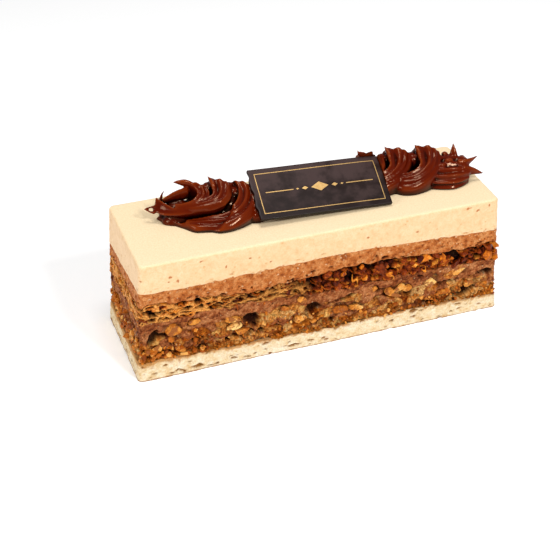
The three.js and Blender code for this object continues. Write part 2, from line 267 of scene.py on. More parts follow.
def addNode(tree, kind, inputs=None, **settings):
    node = tree.nodes.new(kind)
    for name, value in settings.items():
        setattr(node, name, value)
    for name, value in (inputs or {}).items():
        if isinstance(value, bpy.types.NodeSocket):
            tree.links.new(value, node.inputs[name])
        else:
            node.inputs[name].default_value = value
    return node


def mixTints(tree, share, first, second, blend="MIX"):
    node = addNode(tree, "ShaderNodeMix", {0: share, 6: first, 7: second}, data_type="RGBA",
                   blend_type=blend)
    return node.outputs[2]


def combine(tree, kind, first, second):
    return addNode(tree, "ShaderNodeMath", {0: first, 1: second}, operation=kind).outputs[0]


def stepUp(tree, value, low, high):
    inputs = {"Value": value, "From Min": low, "From Max": high}
    return addNode(tree, "ShaderNodeMapRange", inputs, interpolation_type="SMOOTHSTEP").outputs["Result"]


def readMark(tree, name):
    return addNode(tree, "ShaderNodeAttribute", attribute_name=name).outputs["Fac"]


def ramp(tree, share, stops):
    node = addNode(tree, "ShaderNodeValToRGB", {"Fac": share})
    elements = node.color_ramp.elements
    while len(elements) < len(stops):
        elements.new(0.5)
    for element, (place, colour) in zip(elements, stops):
        element.position = place
        element.color = tint(*colour)
    return node.outputs["Color"]


# Grain shared by the materials: broad patches and fine grain, for a size in millimetres
def buildGrain():
    group = bpy.data.node_groups.new("crumbGrain", "ShaderNodeTree")
    group.interface.new_socket("Size", in_out="INPUT", socket_type="NodeSocketFloat")
    for name in ("Patch", "Grain"):
        group.interface.new_socket(name, in_out="OUTPUT", socket_type="NodeSocketFloat")
    start = group.nodes.new("NodeGroupInput")
    end = group.nodes.new("NodeGroupOutput")
    place = addNode(group, "ShaderNodeTexCoord").outputs["Object"]
    perMetre = combine(group, "DIVIDE", 1000.0, start.outputs["Size"])
    scaled = addNode(group, "ShaderNodeVectorMath", {0: place, "Scale": perMetre},
                     operation="SCALE").outputs[0]
    patch = addNode(group, "ShaderNodeTexNoise", {"Vector": scaled, "Scale": 0.16, "Detail": 2.0})
    grain = addNode(group, "ShaderNodeTexNoise",
                    {"Vector": scaled, "Scale": 1.0, "Detail": 3.0, "Roughness": 0.6})
    group.links.new(stepUp(group, patch.outputs["Fac"], 0.3, 0.7), end.inputs["Patch"])
    group.links.new(stepUp(group, grain.outputs["Fac"], 0.25, 0.75), end.inputs["Grain"])
    return group


crumbGrain = buildGrain()


def startMaterial(name, sockets):
    material = bpy.data.materials.new(name)
    material.use_nodes = True
    tree = material.node_tree
    shader = tree.nodes["Principled BSDF"]
    for socket, value in sockets.items():
        shader.inputs[socket].default_value = value
    return material, tree, shader


def addGrain(tree, size):
    node = tree.nodes.new("ShaderNodeGroup")
    node.node_tree = crumbGrain
    node.inputs["Size"].default_value = size
    return node.outputs


def addBump(tree, shader, height, distance):
    inputs = {"Height": height, "Distance": distance * mm}
    tree.links.new(addNode(tree, "ShaderNodeBump", inputs).outputs["Normal"], shader.inputs["Normal"])


def varyRoughness(tree, shader, value, low, high):
    rough = addNode(tree, "ShaderNodeMapRange", {"Value": value, "To Min": low, "To Max": high})
    tree.links.new(rough.outputs["Result"], shader.inputs["Roughness"])


# Layer faces: rows up between two edges, columns round the bar
def layerSpots(around, up, lower, upper):
    x, y, outward = outlineAt(around)
    z = edgeHeight(lower, x, y) * (1 - up) + edgeHeight(upper, x, y) * up
    return tapered(x, y, z), outward


# Colours of the palette at shares from 0 to 1
def paletteAt(share, *colours):
    linear = np.array([tint(*colour) for colour in colours])
    at = np.linspace(0, 1, len(colours))
    return np.stack([np.interp(share, at, linear[:, channel]) for channel in range(4)], axis=1)


def blendShades(share, first, second):
    return first + (second - first) * np.asarray(share)[:, None]


# One colour laid over a layer's shades
def stain(shade, share, colour):
    return blendShades(share, shade, np.array(tint(*colour)))


# A layer round the bar, in its own shades, mottled by fine grain
def addLayer(name, node, setting, rows, place):
    bm = wrapGrid(setting["columns"], rows, place)
    if "smoothing" in setting:
        smoothOver(bm, setting["smoothing"])
    sockets = {"Roughness": setting["rough"], "Specular IOR Level": setting["gloss"]}
    material, tree, shader = startMaterial(setting["finish"], sockets)
    grain = addGrain(tree, setting["grain"])["Grain"]
    shade = addNode(tree, "ShaderNodeAttribute", attribute_name="shade").outputs["Color"]
    mottled = mixTints(tree, grain, tint(*setting["mottle"]), (1, 1, 1, 1))
    tree.links.new(mixTints(tree, 1.0, shade, mottled, "MULTIPLY"), shader.inputs["Base Color"])
    addBump(tree, shader, grain, setting["bump"])
    addPiece(name, meshFrom(bm, name), material, node)


# Each layer names the sizes of its noise, its cells and its pores, and some name spots of painted highlight.
# Pores and these spots are given as the cell that holds one, the chance that it does, and the least and
# largest radius in shares of the cell
sponge = {
    "columns": 1160, "rows": 30, "inset": 0.45, "seed": 11, "crumbs": 2.2, "sway": (26, 26, 9),
    "fine": ((2.2, 2.2, 1.5), 0.5, (0.2, 0.5)), "slots": ((6, 6, 2.2), 0.42, (0.14, 0.38)),
    "lowSlots": ((5, 5, 2.0), 0.62, (0.16, 0.5)),
    "crumb": [(224, 188, 136), (243, 223, 186), (251, 240, 218)],
    # hole is the darker ochre of painted shade in the sponge's holes
    "soaked": (196, 134, 58), "hole": (164, 108, 36), "darkBottom": (142, 84, 34),
    "finish": "ivorySponge", "rough": 0.85, "gloss": 0.15, "grain": 0.9, "mottle": (232, 222, 204),
    "bump": 0.25,
}
# Larger holes in the front of the sponge, painted a darker ochre as shade: x, height, half length, half
# height
spongeHoles = [(48, 7.9, 2.6, 0.9), (48, 4.6, 2, 0.9), (-66, 2.4, 3.4, 0.8), (-16, 2.4, 3.6, 0.8),
               (36.5, 5, 1.4, 0.7)]


def makeSponge():
    def place(around, up):
        seed = sponge["seed"]
        spots, outward = layerSpots(around, up, "base", "spongeTop")
        crooked = shaken(spots, 3, 0.7, seed + 90)
        fine = hollows(spots, *sponge["fine"], seed)
        slots = hollows(crooked, *sponge["slots"], seed + 20)
        low = hollows(crooked, *sponge["lowSlots"], seed + 25)
        low = low * smoothStep(spots[:, 2], 4.6, 2.6) * smoothStep(spots[:, 2], 0.8, 1.4)
        slots = np.maximum(slots, low)
        slots = markSunk(slots, crooked, spongeHoles)
        rough = roughNoise(spots, sponge["crumbs"], seed + 40)
        sway = softNoise(spots, sponge["sway"], seed + 50)
        inset = sponge["inset"] + 0.16 * rough + 0.35 * sway + 0.45 * fine + 1.5 * np.sqrt(slots)
        inset = inset + 0.4 * smoothStep(up, 0.92, 1)
        # Pores are painted in the darker crumb colour and holes in the hole colour: painted shade in them
        shade = paletteAt(0.6 + 0.4 * rough + 0.2 * sway - 0.45 * fine, *sponge["crumb"])
        shade = stain(shade, 0.9 * smoothStep(slots, 0.03, 0.25), sponge["hole"])
        spread = 0.14 * smoothStep(spots[:, 0], -60, -90)
        soak = smoothStep(up + 0.16 * rough + spread, 0.86, 1.04)
        shade = stain(shade, 0.85 * soak, sponge["soaked"])
        # A darker band along the bottom edge
        shade = stain(shade, 0.8 * smoothStep(up + 0.02 * rough, 0.08, 0.04), sponge["darkBottom"])
        return spots - outward * np.maximum(inset, 0)[:, None], {"shade": shade}

    addLayer("sponge", "sponge_base", sponge, sponge["rows"], place)


# Hollows at given places of the front face, added to a field of hollows
def markSunk(sunk, points, places):
    for x, z, halfLength, halfHeight in places:
        reach = np.hypot((points[:, 0] - x) / halfLength, (points[:, 2] - z) / halfHeight)
        sunk = np.where(points[:, 1] < 0, np.maximum(sunk, smoothStep(reach, 1, 0.6)), sunk)
    return sunk


nutCream = {
    "columns": 1320, "rows": 56, "seed": 211, "lump": (6.8, 6.8, 4.2), "bit": (2.6, 2.6, 1.5),
    "grit": 1.1, "patch": (13, 13, 6), "smear": (8, 8, 2.2), "cracks": 7, "pits": (6.5, 6.5, 2.6),
    "glintSpots": ((2.2, 2.2, 1.8), 0.62, (0.1, 0.26)),
    "cream": [(110, 50, 22), (178, 101, 54), (222, 151, 97)],
    "meal": [(146, 66, 14), (230, 142, 58), (255, 200, 114)],
    "caramel": [(112, 42, 2), (192, 98, 14), (234, 146, 48)],
    "nut": [(170, 86, 20), (232, 148, 60), (255, 202, 128)],
    # hollow is the dark of painted shade in cracks, gaps, rims round nuts and hollows; glint is a painted
    # highlight
    "hollow": (40, 10, 1), "soaked": (186, 110, 28), "glint": (255, 220, 170),
    "finish": "nutPraline", "rough": 0.6, "gloss": 0.08, "grain": 0.9, "mottle": (188, 172, 152),
    "bump": 0.45, "smoothing": 0.25,
}
# Deep hollows in the front face, painted dark as shade: x, height, half length, half height
frontHollows = [(-5.3, 21.4, 5, 3.2), (-37.3, 22.6, 4.6, 3.4), (9.4, 24.6, 6, 1.5), (88, 22.3, 5, 2),
                (-86, 23.5, 3, 4), (-66, 17.8, 4, 1.4), (29, 23.4, 2.4, 2), (-35, 15.5, 2.4, 1.6),
                (66, 21, 9, 0.9)]


def makeNutCream():
    def place(around, up):
        seed = nutCream["seed"]
        spots, outward = layerSpots(around, up, "spongeTop", "nutTop")
        crooked = shaken(shaken(spots, 5, 1.8, seed + 60), 1.7, 0.6, seed + 64)
        grit = roughNoise(spots, nutCream["grit"], seed + 30, 2)
        patch = roughNoise(crooked, nutCream["patch"], seed + 34)
        smear = roughNoise(crooked, nutCream["smear"], seed + 38, 4)
        band = smoothStep(up + 0.09 * smear + 0.12 * patch, 0.6, 0.78)  # smooth cream along the top
        foot = smoothStep(up + 0.06 * smear, 0.3, 0.12)  # chopped and crumbly along the sponge
        near, following, lump = cellsNear(crooked, nutCream["lump"], seed)
        bitNear, bitNext, bit = cellsNear(shaken(spots, 1.5, 0.9, seed + 68), nutCream["bit"], seed + 10)
        bitGap = smoothStep(bitNext - bitNear, 0.2, 0.03) * (1 - 0.85 * band)
        gap = smoothStep(following - near, 0.16, 0.02)

        # What each lump is: mostly cream, with meal, caramel and nut further down
        kind = latticeDraw(lump, seed + 20) + 0.28 * patch
        ownTone = 0.4 * latticeDraw(lump, seed + 21) + 0.5 * latticeDraw(bit, seed + 22) + 0.1 + 0.34 * grit
        creamy = np.clip(0.51 + 0.49 * band - 0.2 * foot, 0, 1)
        isMeal = smoothStep(kind - creamy, -0.03, 0.03)
        leftFoot = foot * smoothStep(spots[:, 0], -48, -70)
        isCaramel = (latticeDraw(lump, seed + 24) < 0.12 + 0.08 * foot + 0.4 * leftFoot) * isMeal
        isNut = (latticeDraw(lump, seed + 25) < 0.3) * isMeal * (1 - isCaramel)
        crumb = (latticeDraw(bit, seed + 26) < 0.07 + 0.06 * foot + 0.14 * leftFoot) * (1 - 0.8 * band)
        shade = paletteAt(0.52 + 0.4 * smear + 0.22 * (ownTone - 0.5) + 0.42 * grit, *nutCream["cream"])
        shade = blendShades(isMeal, shade, paletteAt(ownTone, *nutCream["meal"]))
        shade = blendShades(np.maximum(isCaramel, crumb), shade, paletteAt(ownTone, *nutCream["caramel"]))
        shade = blendShades(isNut, shade, paletteAt(0.2 + ownTone, *nutCream["nut"]))
        bitGap = bitGap * np.maximum(0.25, np.maximum(0.6 * isMeal, foot))
        stand = latticeDraw(lump, seed + 27) * (1 - 0.75 * band)
        stand = stand + 0.5 * (1 - 0.5 * band) * latticeDraw(bit, seed + 28)
        glint = hollows(spots, *nutCream["glintSpots"], seed + 54)
        inset = 0.6 + 1.0 * stand + 0.4 * smear + 0.3 * grit - 0.4 * isNut + 1.0 * bitGap - 0.5 * glint
        torn = roughNoise(spots, nutCream["cracks"], seed + 44)
        cracked = gap * smoothStep(torn, -0.25, 0.15) * (1 - 0.6 * band)
        inset = inset + 0.5 * cracked
        # Cracks and the gaps between bits are painted dark in the hollow colour: painted shade
        shade = stain(shade, np.maximum(0.45 * cracked, 0.5 * bitGap), nutCream["hollow"])
        # Glint spots are painted pale: painted highlights
        shade = stain(shade, 0.8 * smoothStep(glint, 0.1, 0.5), nutCream["glint"])
        # A dark ring is painted round each front nut, in the hollow colour: painted shadow
        beds = [(x, z, 0.68 * length, 0.72 * thickness) for x, z, length, thickness, _ in frontNuts]
        rims = markSunk(np.zeros(len(spots)), crooked, beds)
        inset = inset + 1.2 * rims
        shade = stain(shade, 0.45 * rims, nutCream["hollow"])
        pits = roughNoise(crooked, nutCream["pits"], seed + 50, 4)
        sunk = smoothStep(pits + 0.08 * foot - 0.3 * band, 0.5, 0.62) * (1 - isNut)
        sunk = markSunk(sunk, crooked, frontHollows)
        inset = inset + 3.0 * sunk
        soak = smoothStep(up + 0.05 * grit, 0.1, 0.03)
        shade = stain(shade, 0.8 * soak, nutCream["soaked"])
        # Pits and hollows are painted near black: painted shade
        shade = stain(shade, 0.94 * sunk, nutCream["hollow"])
        return spots - outward * np.maximum(inset, 0.1)[:, None], {"shade": shade}

    addLayer("nut_cream", "nut_praline_cream", nutCream, nutCream["rows"], place)


crisp = {
    "columns": 1400, "rows": 38, "seed": 321,
    "lace": (6.2, 6.2, 2.5), "layers": (6.4, 6.4, 1.5), "lump": (5.2, 5.2, 3.0),
    "drift": (16, 16, 5), "fineGrit": 1.4, "grit": 1.2, "crag": (3.2, 3.2, 1.8),
    "wafer": [(255, 180, 92), (236, 128, 38), (126, 40, 2), (24, 2, 0)],
    # hollow is the dark of painted shade in gaps, hollows and under the milk mousse
    "toffee": [(60, 11, 0), (114, 37, 2), (188, 86, 9), (246, 158, 54)], "hollow": (26, 3, 0),
    "finish": "pralineCrisp", "rough": 0.5, "gloss": 0.1, "grain": 0.8, "mottle": (186, 166, 142),
    "bump": 0.35, "smoothing": 0.25,
}
# Deep hollows in the front of the crisp layer, painted dark as shade
crispHollows = [(-38.5, 39.2, 3.6, 2.6), (-86, 38.6, 3, 1.4), (18, 40.8, 3, 1.8), (32.7, 41.6, 3, 1.4),
                (-6, 42, 6, 1.6)]


# Wafer edges round holes: how deep each point lies, and its colour, painted darker the deeper it lies as
# shade in the holes
def openLace(points, grit, cells, walls, share, seed):
    near, following, home = cellsNear(points, crisp[cells], seed)
    wall = smoothStep(following - near, *walls)
    openness = np.where(latticeDraw(home, seed + 22) < share, 1.0, 0.25)
    depth = 0.1 + 0.4 * latticeDraw(home, seed + 21) + 4.2 * (1 - wall) * openness
    tone = 0.3 * latticeDraw(home, seed + 23) - 0.1
    return depth, paletteAt((depth - 0.4) / 1.1 + tone + 0.34 * grit, *crisp["wafer"])


# The crisp layer: lacy wafer edges at the left, toffee crumbles towards the right
def makeCrisp():
    def place(around, up):
        seed = crisp["seed"]
        spots, outward = layerSpots(around, up, "nutTop", "crispTop")
        along = spots[:, 0] + 12 * softNoise(spots, crisp["drift"], seed + 70)
        chunky = smoothStep(along, -24, -4)
        dense = smoothStep(along, -62, -48)
        warped = shaken(shaken(spots, (6, 6, 2.6), 1.1, seed + 60), 1.5, 0.35, seed + 64)
        fineGrit = roughNoise(spots, crisp["fineGrit"], seed + 80, 2)
        laceDepth, laceShade = openLace(warped, fineGrit, "lace", (0.25, 0.15), 0.84, seed)
        denseDepth, denseShade = openLace(warped, fineGrit, "layers", (0.24, 0.13), 0.64, seed + 5)
        laceDepth = laceDepth + (denseDepth - laceDepth) * dense
        laceShade = blendShades(dense, laceShade, denseShade * 0.8)
        ragged = shaken(shaken(spots, (4, 4, 2.6), 1.6, seed + 66), 1.3, 0.6, seed + 74)
        near, following, lump = cellsNear(ragged, crisp["lump"], seed + 30)
        body = smoothStep(following - near, 0.02, 0.22)
        tone, stand = latticeDraw(lump, seed + 31), latticeDraw(lump, seed + 32)
        sunk = latticeDraw(lump, seed + 33) < 0.16 + 0.26 * smoothStep(up, 0.5, 0.8)
        grit = roughNoise(spots, crisp["grit"], seed + 90, 2)
        crag = roughNoise(ragged, crisp["crag"], seed + 94, 4)
        lumpDepth = np.where(sunk, 3.8, 0.2 + 1.5 * stand + 0.9 * crag) + 0.9 * (1 - body)
        # Lumps are painted lighter where they stand proud and darker where they lie deep, with their gaps
        # and sunk cells dark: painted shade
        lumpTone = 0.2 + 0.32 * tone + 0.32 * (1 - stand) - 0.5 * crag + 0.26 * grit
        lumpShade = paletteAt(lumpTone, *crisp["toffee"])
        dark = np.clip(0.6 * (1 - body) + 0.97 * sunk, 0, 0.97)
        lumpShade = stain(lumpShade, dark, crisp["hollow"])
        shade = blendShades(chunky, laceShade, lumpShade)
        # Deep hollows, and the top under the milk mousse's overhang, are painted dark: painted shade
        deep = markSunk(np.zeros(len(spots)), warped, crispHollows)
        under = smoothStep(up + 0.1 * grit, 0.86, 1) * chunky
        shade = stain(shade, np.maximum(deep, 0.8 * under), crisp["hollow"])
        inset = laceDepth + (lumpDepth - laceDepth) * chunky + 0.3 * grit + 2.2 * deep + 1.8 * under
        inset = inset + 0.4 * smoothStep(up, 0.06, 0)
        return spots - outward * np.clip(inset, 0.05, 5.2)[:, None], {"shade": shade}

    addLayer("praline_crisp", "crisp_layer", crisp, crisp["rows"], place)


milk = {
    "columns": 1320, "rows": 30, "inset": 0.4, "seed": 431, "crumbs": 1.7, "sway": (9, 9, 5),
    "fine": ((1.6, 1.6, 1.3), 0.55, (0.2, 0.5)), "torn": ((5, 5, 2.4), 0.7, (0.15, 0.5)),
    "glintSpots": ((1.9, 1.9, 1.5), 0.5, (0.16, 0.34)),
    "mousse": [(138, 64, 21), (207, 121, 57), (236, 163, 100)],
    # hole is the dark of painted shade in torn hollows; glint is a painted highlight
    "hole": (80, 24, 3), "glint": (255, 222, 178),
    "finish": "milkMousse", "rough": 0.55, "gloss": 0.1, "grain": 0.6, "mottle": (214, 198, 180),
    "bump": 0.3,
}


def makeMilkMousse():
    def place(around, up):
        seed = milk["seed"]
        spots, outward = layerSpots(around, up, "crispTop", "milkTop")
        fine = hollows(spots, *milk["fine"], seed)
        torn = hollows(shaken(spots, 2, 0.8, seed + 90), *milk["torn"], seed + 20)
        torn = torn * smoothStep(up, 0.6, 0.15)
        glint = hollows(spots, *milk["glintSpots"], seed + 30)
        rough = roughNoise(spots, milk["crumbs"], seed + 40)
        sway = softNoise(spots, milk["sway"], seed + 50)
        inset = milk["inset"] + 0.36 * rough + 0.2 * sway + 0.8 * fine - 0.4 * glint + 3.0 * torn
        inset = inset + 0.7 * smoothStep(up, 0.1, 0)
        # Pores are painted darker, and torn hollows dark in the hole colour: painted shade
        shade = paletteAt(0.64 + 0.5 * rough + 0.15 * sway - 0.65 * fine, *milk["mousse"])
        # Glint spots are painted pale: painted highlights
        shade = stain(shade, 0.9 * smoothStep(glint, 0.1, 0.5), milk["glint"])
        shade = stain(shade, smoothStep(torn, 0.05, 0.4), milk["hole"])
        return spots - outward * np.maximum(inset, 0)[:, None], {"shade": shade}

    addLayer("milk_mousse", "milk_chocolate_mousse", milk, milk["rows"], place)


cream = {
    "columns": 1160, "sideRows": 36, "brimRows": 5, "topRows": 24, "brim": 1.2, "inset": 0.2, "seed": 541,
    "crumbs": 2.4, "sway": (30, 30, 14), "swirl": (34, 12, 1),
    "fine": ((3.2, 3.2, 2.4), 0.4, (0.1, 0.3)), "torn": ((6, 6, 1.8), 0.5, (0.12, 0.34)),
    "flecks": ((8, 8, 5), 0.36, (0.06, 0.14)), "lowFlecks": ((2.2, 2.2, 1.6), 0.5, (0.16, 0.36)),
    "pits": ((5, 5, 5), 0.3, (0.05, 0.1)),
    "side": [(218, 168, 114), (236, 199, 152), (245, 212, 170)], "top": (250, 228, 190),
    "fleck": (180, 98, 30),
    "finish": "creamMousse", "rough": 0.5, "gloss": 0.25, "grain": 0.8, "mottle": (246, 240, 230),
    "bump": 0.08,
}
# Orange flecks in the front of the cream: x, height, half length, half height
creamFlecks = [(-77, 56.5, 1.2, 0.7), (-73.4, 54, 0.8, 0.8), (-62, 62, 0.8, 0.5), (-50, 56.5, 0.7, 0.6),
               (75, 63, 1.8, 0.5), (80, 60.8, 1.2, 0.5), (86, 62.4, 0.6, 0.7), (-38, 58.6, 0.7, 0.5),
               (22, 57.4, 0.7, 0.5), (-28, 54.6, 0.6, 0.5)]


def makeCreamMousse():
    rows = cream["sideRows"] + cream["brimRows"] + cream["topRows"]
    seed = cream["seed"]

    def place(around, up):
        row = up * rows
        x, y, outward = outlineAt(around)
        low = edgeHeight("milkTop", x, y)
        side = np.clip(row / cream["sideRows"], 0, 1)
        turn = np.clip((row - cream["sideRows"]) / cream["brimRows"], 0, 1) * math.pi / 2
        over = np.clip((row - cream["sideRows"] - cream["brimRows"]) / cream["topRows"], 0, 1)
        z = low + (bar["height"] - cream["brim"] - low) * side + cream["brim"] * np.sin(turn)
        spots = tapered(x, y, z)
        fine = hollows(spots, *cream["fine"], seed)
        torn = hollows(shaken(spots, 3, 0.5, seed + 90), *cream["torn"], seed + 20)
        torn = torn * np.maximum(smoothStep(side, 0.3, 0.05), 0.5 * smoothStep(spots[:, 0], -74, -92))
        fleck = hollows(spots, *cream["flecks"], seed + 30)
        lowFlecks = hollows(spots, *cream["lowFlecks"], seed + 36) * smoothStep(side, 0.16, 0.0)
        fleck = markSunk(np.maximum(fleck, lowFlecks), shaken(spots, 1.2, 0.4, seed + 34), creamFlecks)
        rough = roughNoise(spots, cream["crumbs"], seed + 40)
        sway = softNoise(spots, cream["sway"], seed + 50)
        onSide = np.cos(turn) * (over == 0)
        inset = cream["inset"] + 0.2 * sway + (0.1 * rough + 0.35 * fine + 1.2 * torn) * onSide
        spots = spots - outward * (np.maximum(inset, 0) + cream["brim"] * (1 - np.cos(turn)))[:, None]
        ridge = bar["length"] / 2 - bar["width"] / 2
        middle = np.stack([np.clip(spots[:, 0], -ridge, ridge), np.zeros_like(x), spots[:, 2]], axis=1)
        spots = spots + (middle - spots) * (0.99 * over)[:, None]
        swirl = softNoise(spots * (1, 1, 0), cream["swirl"], seed + 60)
        pits = hollows(spots, *cream["pits"], seed + 70)
        spots[:, 2] -= (0.12 + 0.12 * swirl + 0.1 * pits) * np.sin(turn)
        # Pores and tears are painted darker: painted shade
        shade = paletteAt(0.68 + 0.28 * rough + 0.2 * sway - 0.9 * fine - 1.2 * torn, *cream["side"])
        shade = stain(shade, np.clip(2.4 * fleck, 0, 0.9) * onSide, cream["fleck"])
        # The brim and top are painted paler than the sides: painted light on the top
        shade = stain(shade, np.sin(turn) ** 2, cream["top"])
        return spots, {"shade": shade}

    addLayer("cream_mousse_block", "cream_mousse", cream, rows, place)


# Many small solids joined into one mesh: each is a shape, a matrix from shape to place, and its tone
def joinMany(name, shapes, picks, turns, places, tones):
    points = [shapes[pick][0] @ turn.T + spot for pick, turn, spot in zip(picks, turns, places)]
    counts = np.array([len(part) for part in points])
    starts = np.concatenate([[0], np.cumsum(counts)[:-1]])
    faces = [[start + corner for corner in face]
             for pick, start in zip(picks, starts) for face in shapes[pick][1]]
    mesh = bpy.data.meshes.new(name)
    mesh.from_pydata((np.vstack(points) * mm).tolist(), [], faces)
    writeMark(mesh, "tone", np.repeat(tones, counts))
    return mesh


def shapeArrays(bm):
    points = np.array([v.co for v in bm.verts])
    faces = [[v.index for v in face.verts] for face in bm.faces]
    bm.free()
    return points, faces


# Axes at spots on the bar's face, along it, out of it and up, each set turned by its own angles
def faceTurns(outward, yaw, roll, pitch):
    turns = []
    for out, aroundUp, aroundOut, aroundAlong in zip(outward, yaw, roll, pitch):
        along = Vector((-out[1], out[0], 0))
        axes = Matrix((along, Vector(out), Vector((0, 0, 1)))).transposed()
        turn = Matrix.Rotation(aroundUp, 3, "Z") @ Matrix.Rotation(aroundOut, 3, "Y")
        turns.append(np.array(axes @ turn @ Matrix.Rotation(aroundAlong, 3, "X")))
    return turns


# Small pieces, coloured by their own tone and fine grain
def addScatter(name, node, setting, mesh):
    sockets = {"Roughness": setting["rough"], "Specular IOR Level": setting["gloss"]}
    material, tree, shader = startMaterial(setting["finish"], sockets)
    grain = addGrain(tree, setting["grain"])["Grain"]
    toned = combine(tree, "ADD", readMark(tree, "tone"),
                    combine(tree, "MULTIPLY", grain, setting["mottle"]))
    if "patches" in setting:
        patch = combine(tree, "SUBTRACT", addGrain(tree, setting["patches"])["Grain"], 0.6)
        toned = combine(tree, "ADD", toned, combine(tree, "MULTIPLY", patch, 0.5))
    colour = ramp(tree, combine(tree, "SUBTRACT", toned, setting["darker"]), setting["tones"])
    if "smear" in setting:
        smeared = stepUp(tree, addGrain(tree, setting["smears"])["Grain"], 0.52, 0.7)
        colour = mixTints(tree, combine(tree, "MULTIPLY", smeared, 0.85), colour, tint(*setting["smear"]))
    tree.links.new(colour, shader.inputs["Base Color"])
    addBump(tree, shader, grain, setting["bump"])
    addPiece(name, mesh, material, node, setting["sharpAngle"])


flakes = {
    "variants": 10, "levels": 3, "spacing": 13, "length": (4, 8), "depth": (3, 4.2), "thin": (0.4, 0.8),
    "thick": (1.0, 2.0), "sheet": 0.16, "seed": 651,
    "finish": "praline", "rough": 0.42, "gloss": 0.12, "grain": 1.2, "mottle": 0.3, "darker": 0.15,
    "bump": 0.2, "sharpAngle": 40,
    "tones": [(0, (70, 20, 2)), (0.4, (160, 72, 8)), (0.75, (228, 138, 40)), (1, (255, 196, 104))],
}


def flakeShape(draw):
    bm = bmesh.new()
    bmesh.ops.create_grid(bm, x_segments=6, y_segments=3, size=0.5)
    bends = draw.uniform(-1, 1, 4)
    for v in bm.verts:
        x, y, _ = v.co
        rim = 1 if abs(y) > 0.49 or abs(x) > 0.49 else 0
        v.co.x += rim * draw.uniform(-0.07, 0.07)
        v.co.y += rim * draw.uniform(-0.12, 0.12)
        wave = 0.16 * math.sin(9 * x + 3 * bends[1])
        v.co.z = 0.9 * bends[0] * (x * x - 0.1) + wave + 0.3 * bends[2] * x * y
        v.co.z += 0.06 * draw.uniform(-1, 1)
    bmesh.ops.solidify(bm, geom=bm.faces[:], thickness=flakes["sheet"])
    bmesh.ops.recalc_face_normals(bm, faces=bm.faces)
    bmesh.ops.translate(bm, verts=bm.verts, vec=(0, -0.5, 0))
    return shapeArrays(bm)


def makeFlakes():
    draw = np.random.default_rng(flakes["seed"])
    shapes = [flakeShape(draw) for _ in range(flakes["variants"])]
    perLevel = int(outlineRun[-1] / flakes["spacing"])
    count = perLevel * flakes["levels"]
    around = (np.tile(np.arange(perLevel), flakes["levels"]) + draw.uniform(0, 1, count)) / perLevel
    level = np.repeat(np.arange(flakes["levels"]), perLevel) + draw.uniform(0.1, 0.9, count)
    level = level / flakes["levels"]
    spots, outward = layerSpots(around % 1, 0.03 + 0.94 * level, "nutTop", "crispTop")
    chunky = smoothStep(spots[:, 0] + draw.uniform(-25, 25, count), -45, -5)
    length = draw.uniform(*flakes["length"], count) * (1 - 0.3 * chunky)
    depth = draw.uniform(*flakes["depth"], count)
    thin = draw.uniform(*flakes["thin"], count)
    thick = draw.uniform(*flakes["thick"], count)
    height = (thin + (thick - thin) * chunky) / flakes["sheet"]
    proud = draw.uniform(-2.2, -0.6, count)
    places = spots + outward * proud[:, None]
    roll = draw.normal(0, 1, count) * (0.14 + 0.2 * chunky)
    turns = faceTurns(outward, draw.uniform(-0.6, 0.6, count), roll, draw.normal(0, 0.22, count))
    sizes = np.stack([length, depth, np.minimum(height, 4 + 4 * chunky)], axis=1)
    turns = [turn * size for turn, size in zip(turns, sizes)]
    # Flakes set deeper are painted a little darker: painted shade
    tone = np.clip(draw.normal(0.68, 0.2, count) - 0.3 * chunky - 0.1 * (proud < -0.9), 0, 1)
    picks = draw.integers(0, flakes["variants"], count)
    mesh = joinMany("praline_flakes", shapes, picks, turns, places, tone)
    addScatter("praline_flakes", "crisp_layer", flakes, mesh)


nuts = {
    "variants": 12, "count": 64, "length": (3, 8), "thickness": (2.4, 4.6), "seed": 761,
    "finish": "hazelnut", "rough": 0.5, "gloss": 0.12, "grain": 1.1, "mottle": 0.25, "darker": 0.12,
    "bump": 0.4, "sharpAngle": 22,
    "tones": [(0, (94, 40, 6)), (0.35, (178, 94, 22)), (0.7, (230, 150, 58)), (1, (250, 206, 126))],
    "patches": 7.0, "smears": 3.6, "smear": (148, 82, 38),
}
# Pieces in the front face: x, height, length, thickness, tone
frontNuts = [(-77.8, 25.6, 9, 7, 0.56), (-67.5, 28.2, 7, 4, 0.62), (-47.9, 24.6, 10, 4.2, 0.7),
             (-47, 20.6, 9, 3.4, 0.92), (-43, 16.6, 9, 5, 0.5), (-21, 25.6, 4.4, 4, 0.5),
             (-11.6, 28.6, 5.6, 5, 0.62), (-12.6, 16.8, 8, 5, 0.72), (-91, 15.6, 5, 4, 0.6),
             (-86, 16.8, 5.4, 4.4, 0.64), (-88, 11.9, 4, 3.2, 0.6), (-80.6, 12.4, 4, 3.2, 0.68),
             (-74.5, 14.4, 6.6, 3.4, 0.52), (-63, 12.4, 3, 3, 0.75), (-5.4, 14, 5, 3.4, 0.66),
             (9, 18, 9, 5.6, 0.5), (17.4, 17.6, 8, 4.6, 0.74), (27, 25.8, 4.4, 3.4, 0.58),
             (35.5, 22.4, 6, 4.2, 0.72), (40.6, 23.6, 7, 4.4, 0.82), (45, 22.4, 5.4, 4.2, 0.7),
             (38, 20.2, 9, 2.8, 0.6), (57.6, 23.4, 7.6, 4.4, 0.95), (74, 25.8, 9, 3.4, 0.86),
             (79.6, 17.4, 6, 5, 0.58), (66, 15.4, 8, 4, 0.55)]


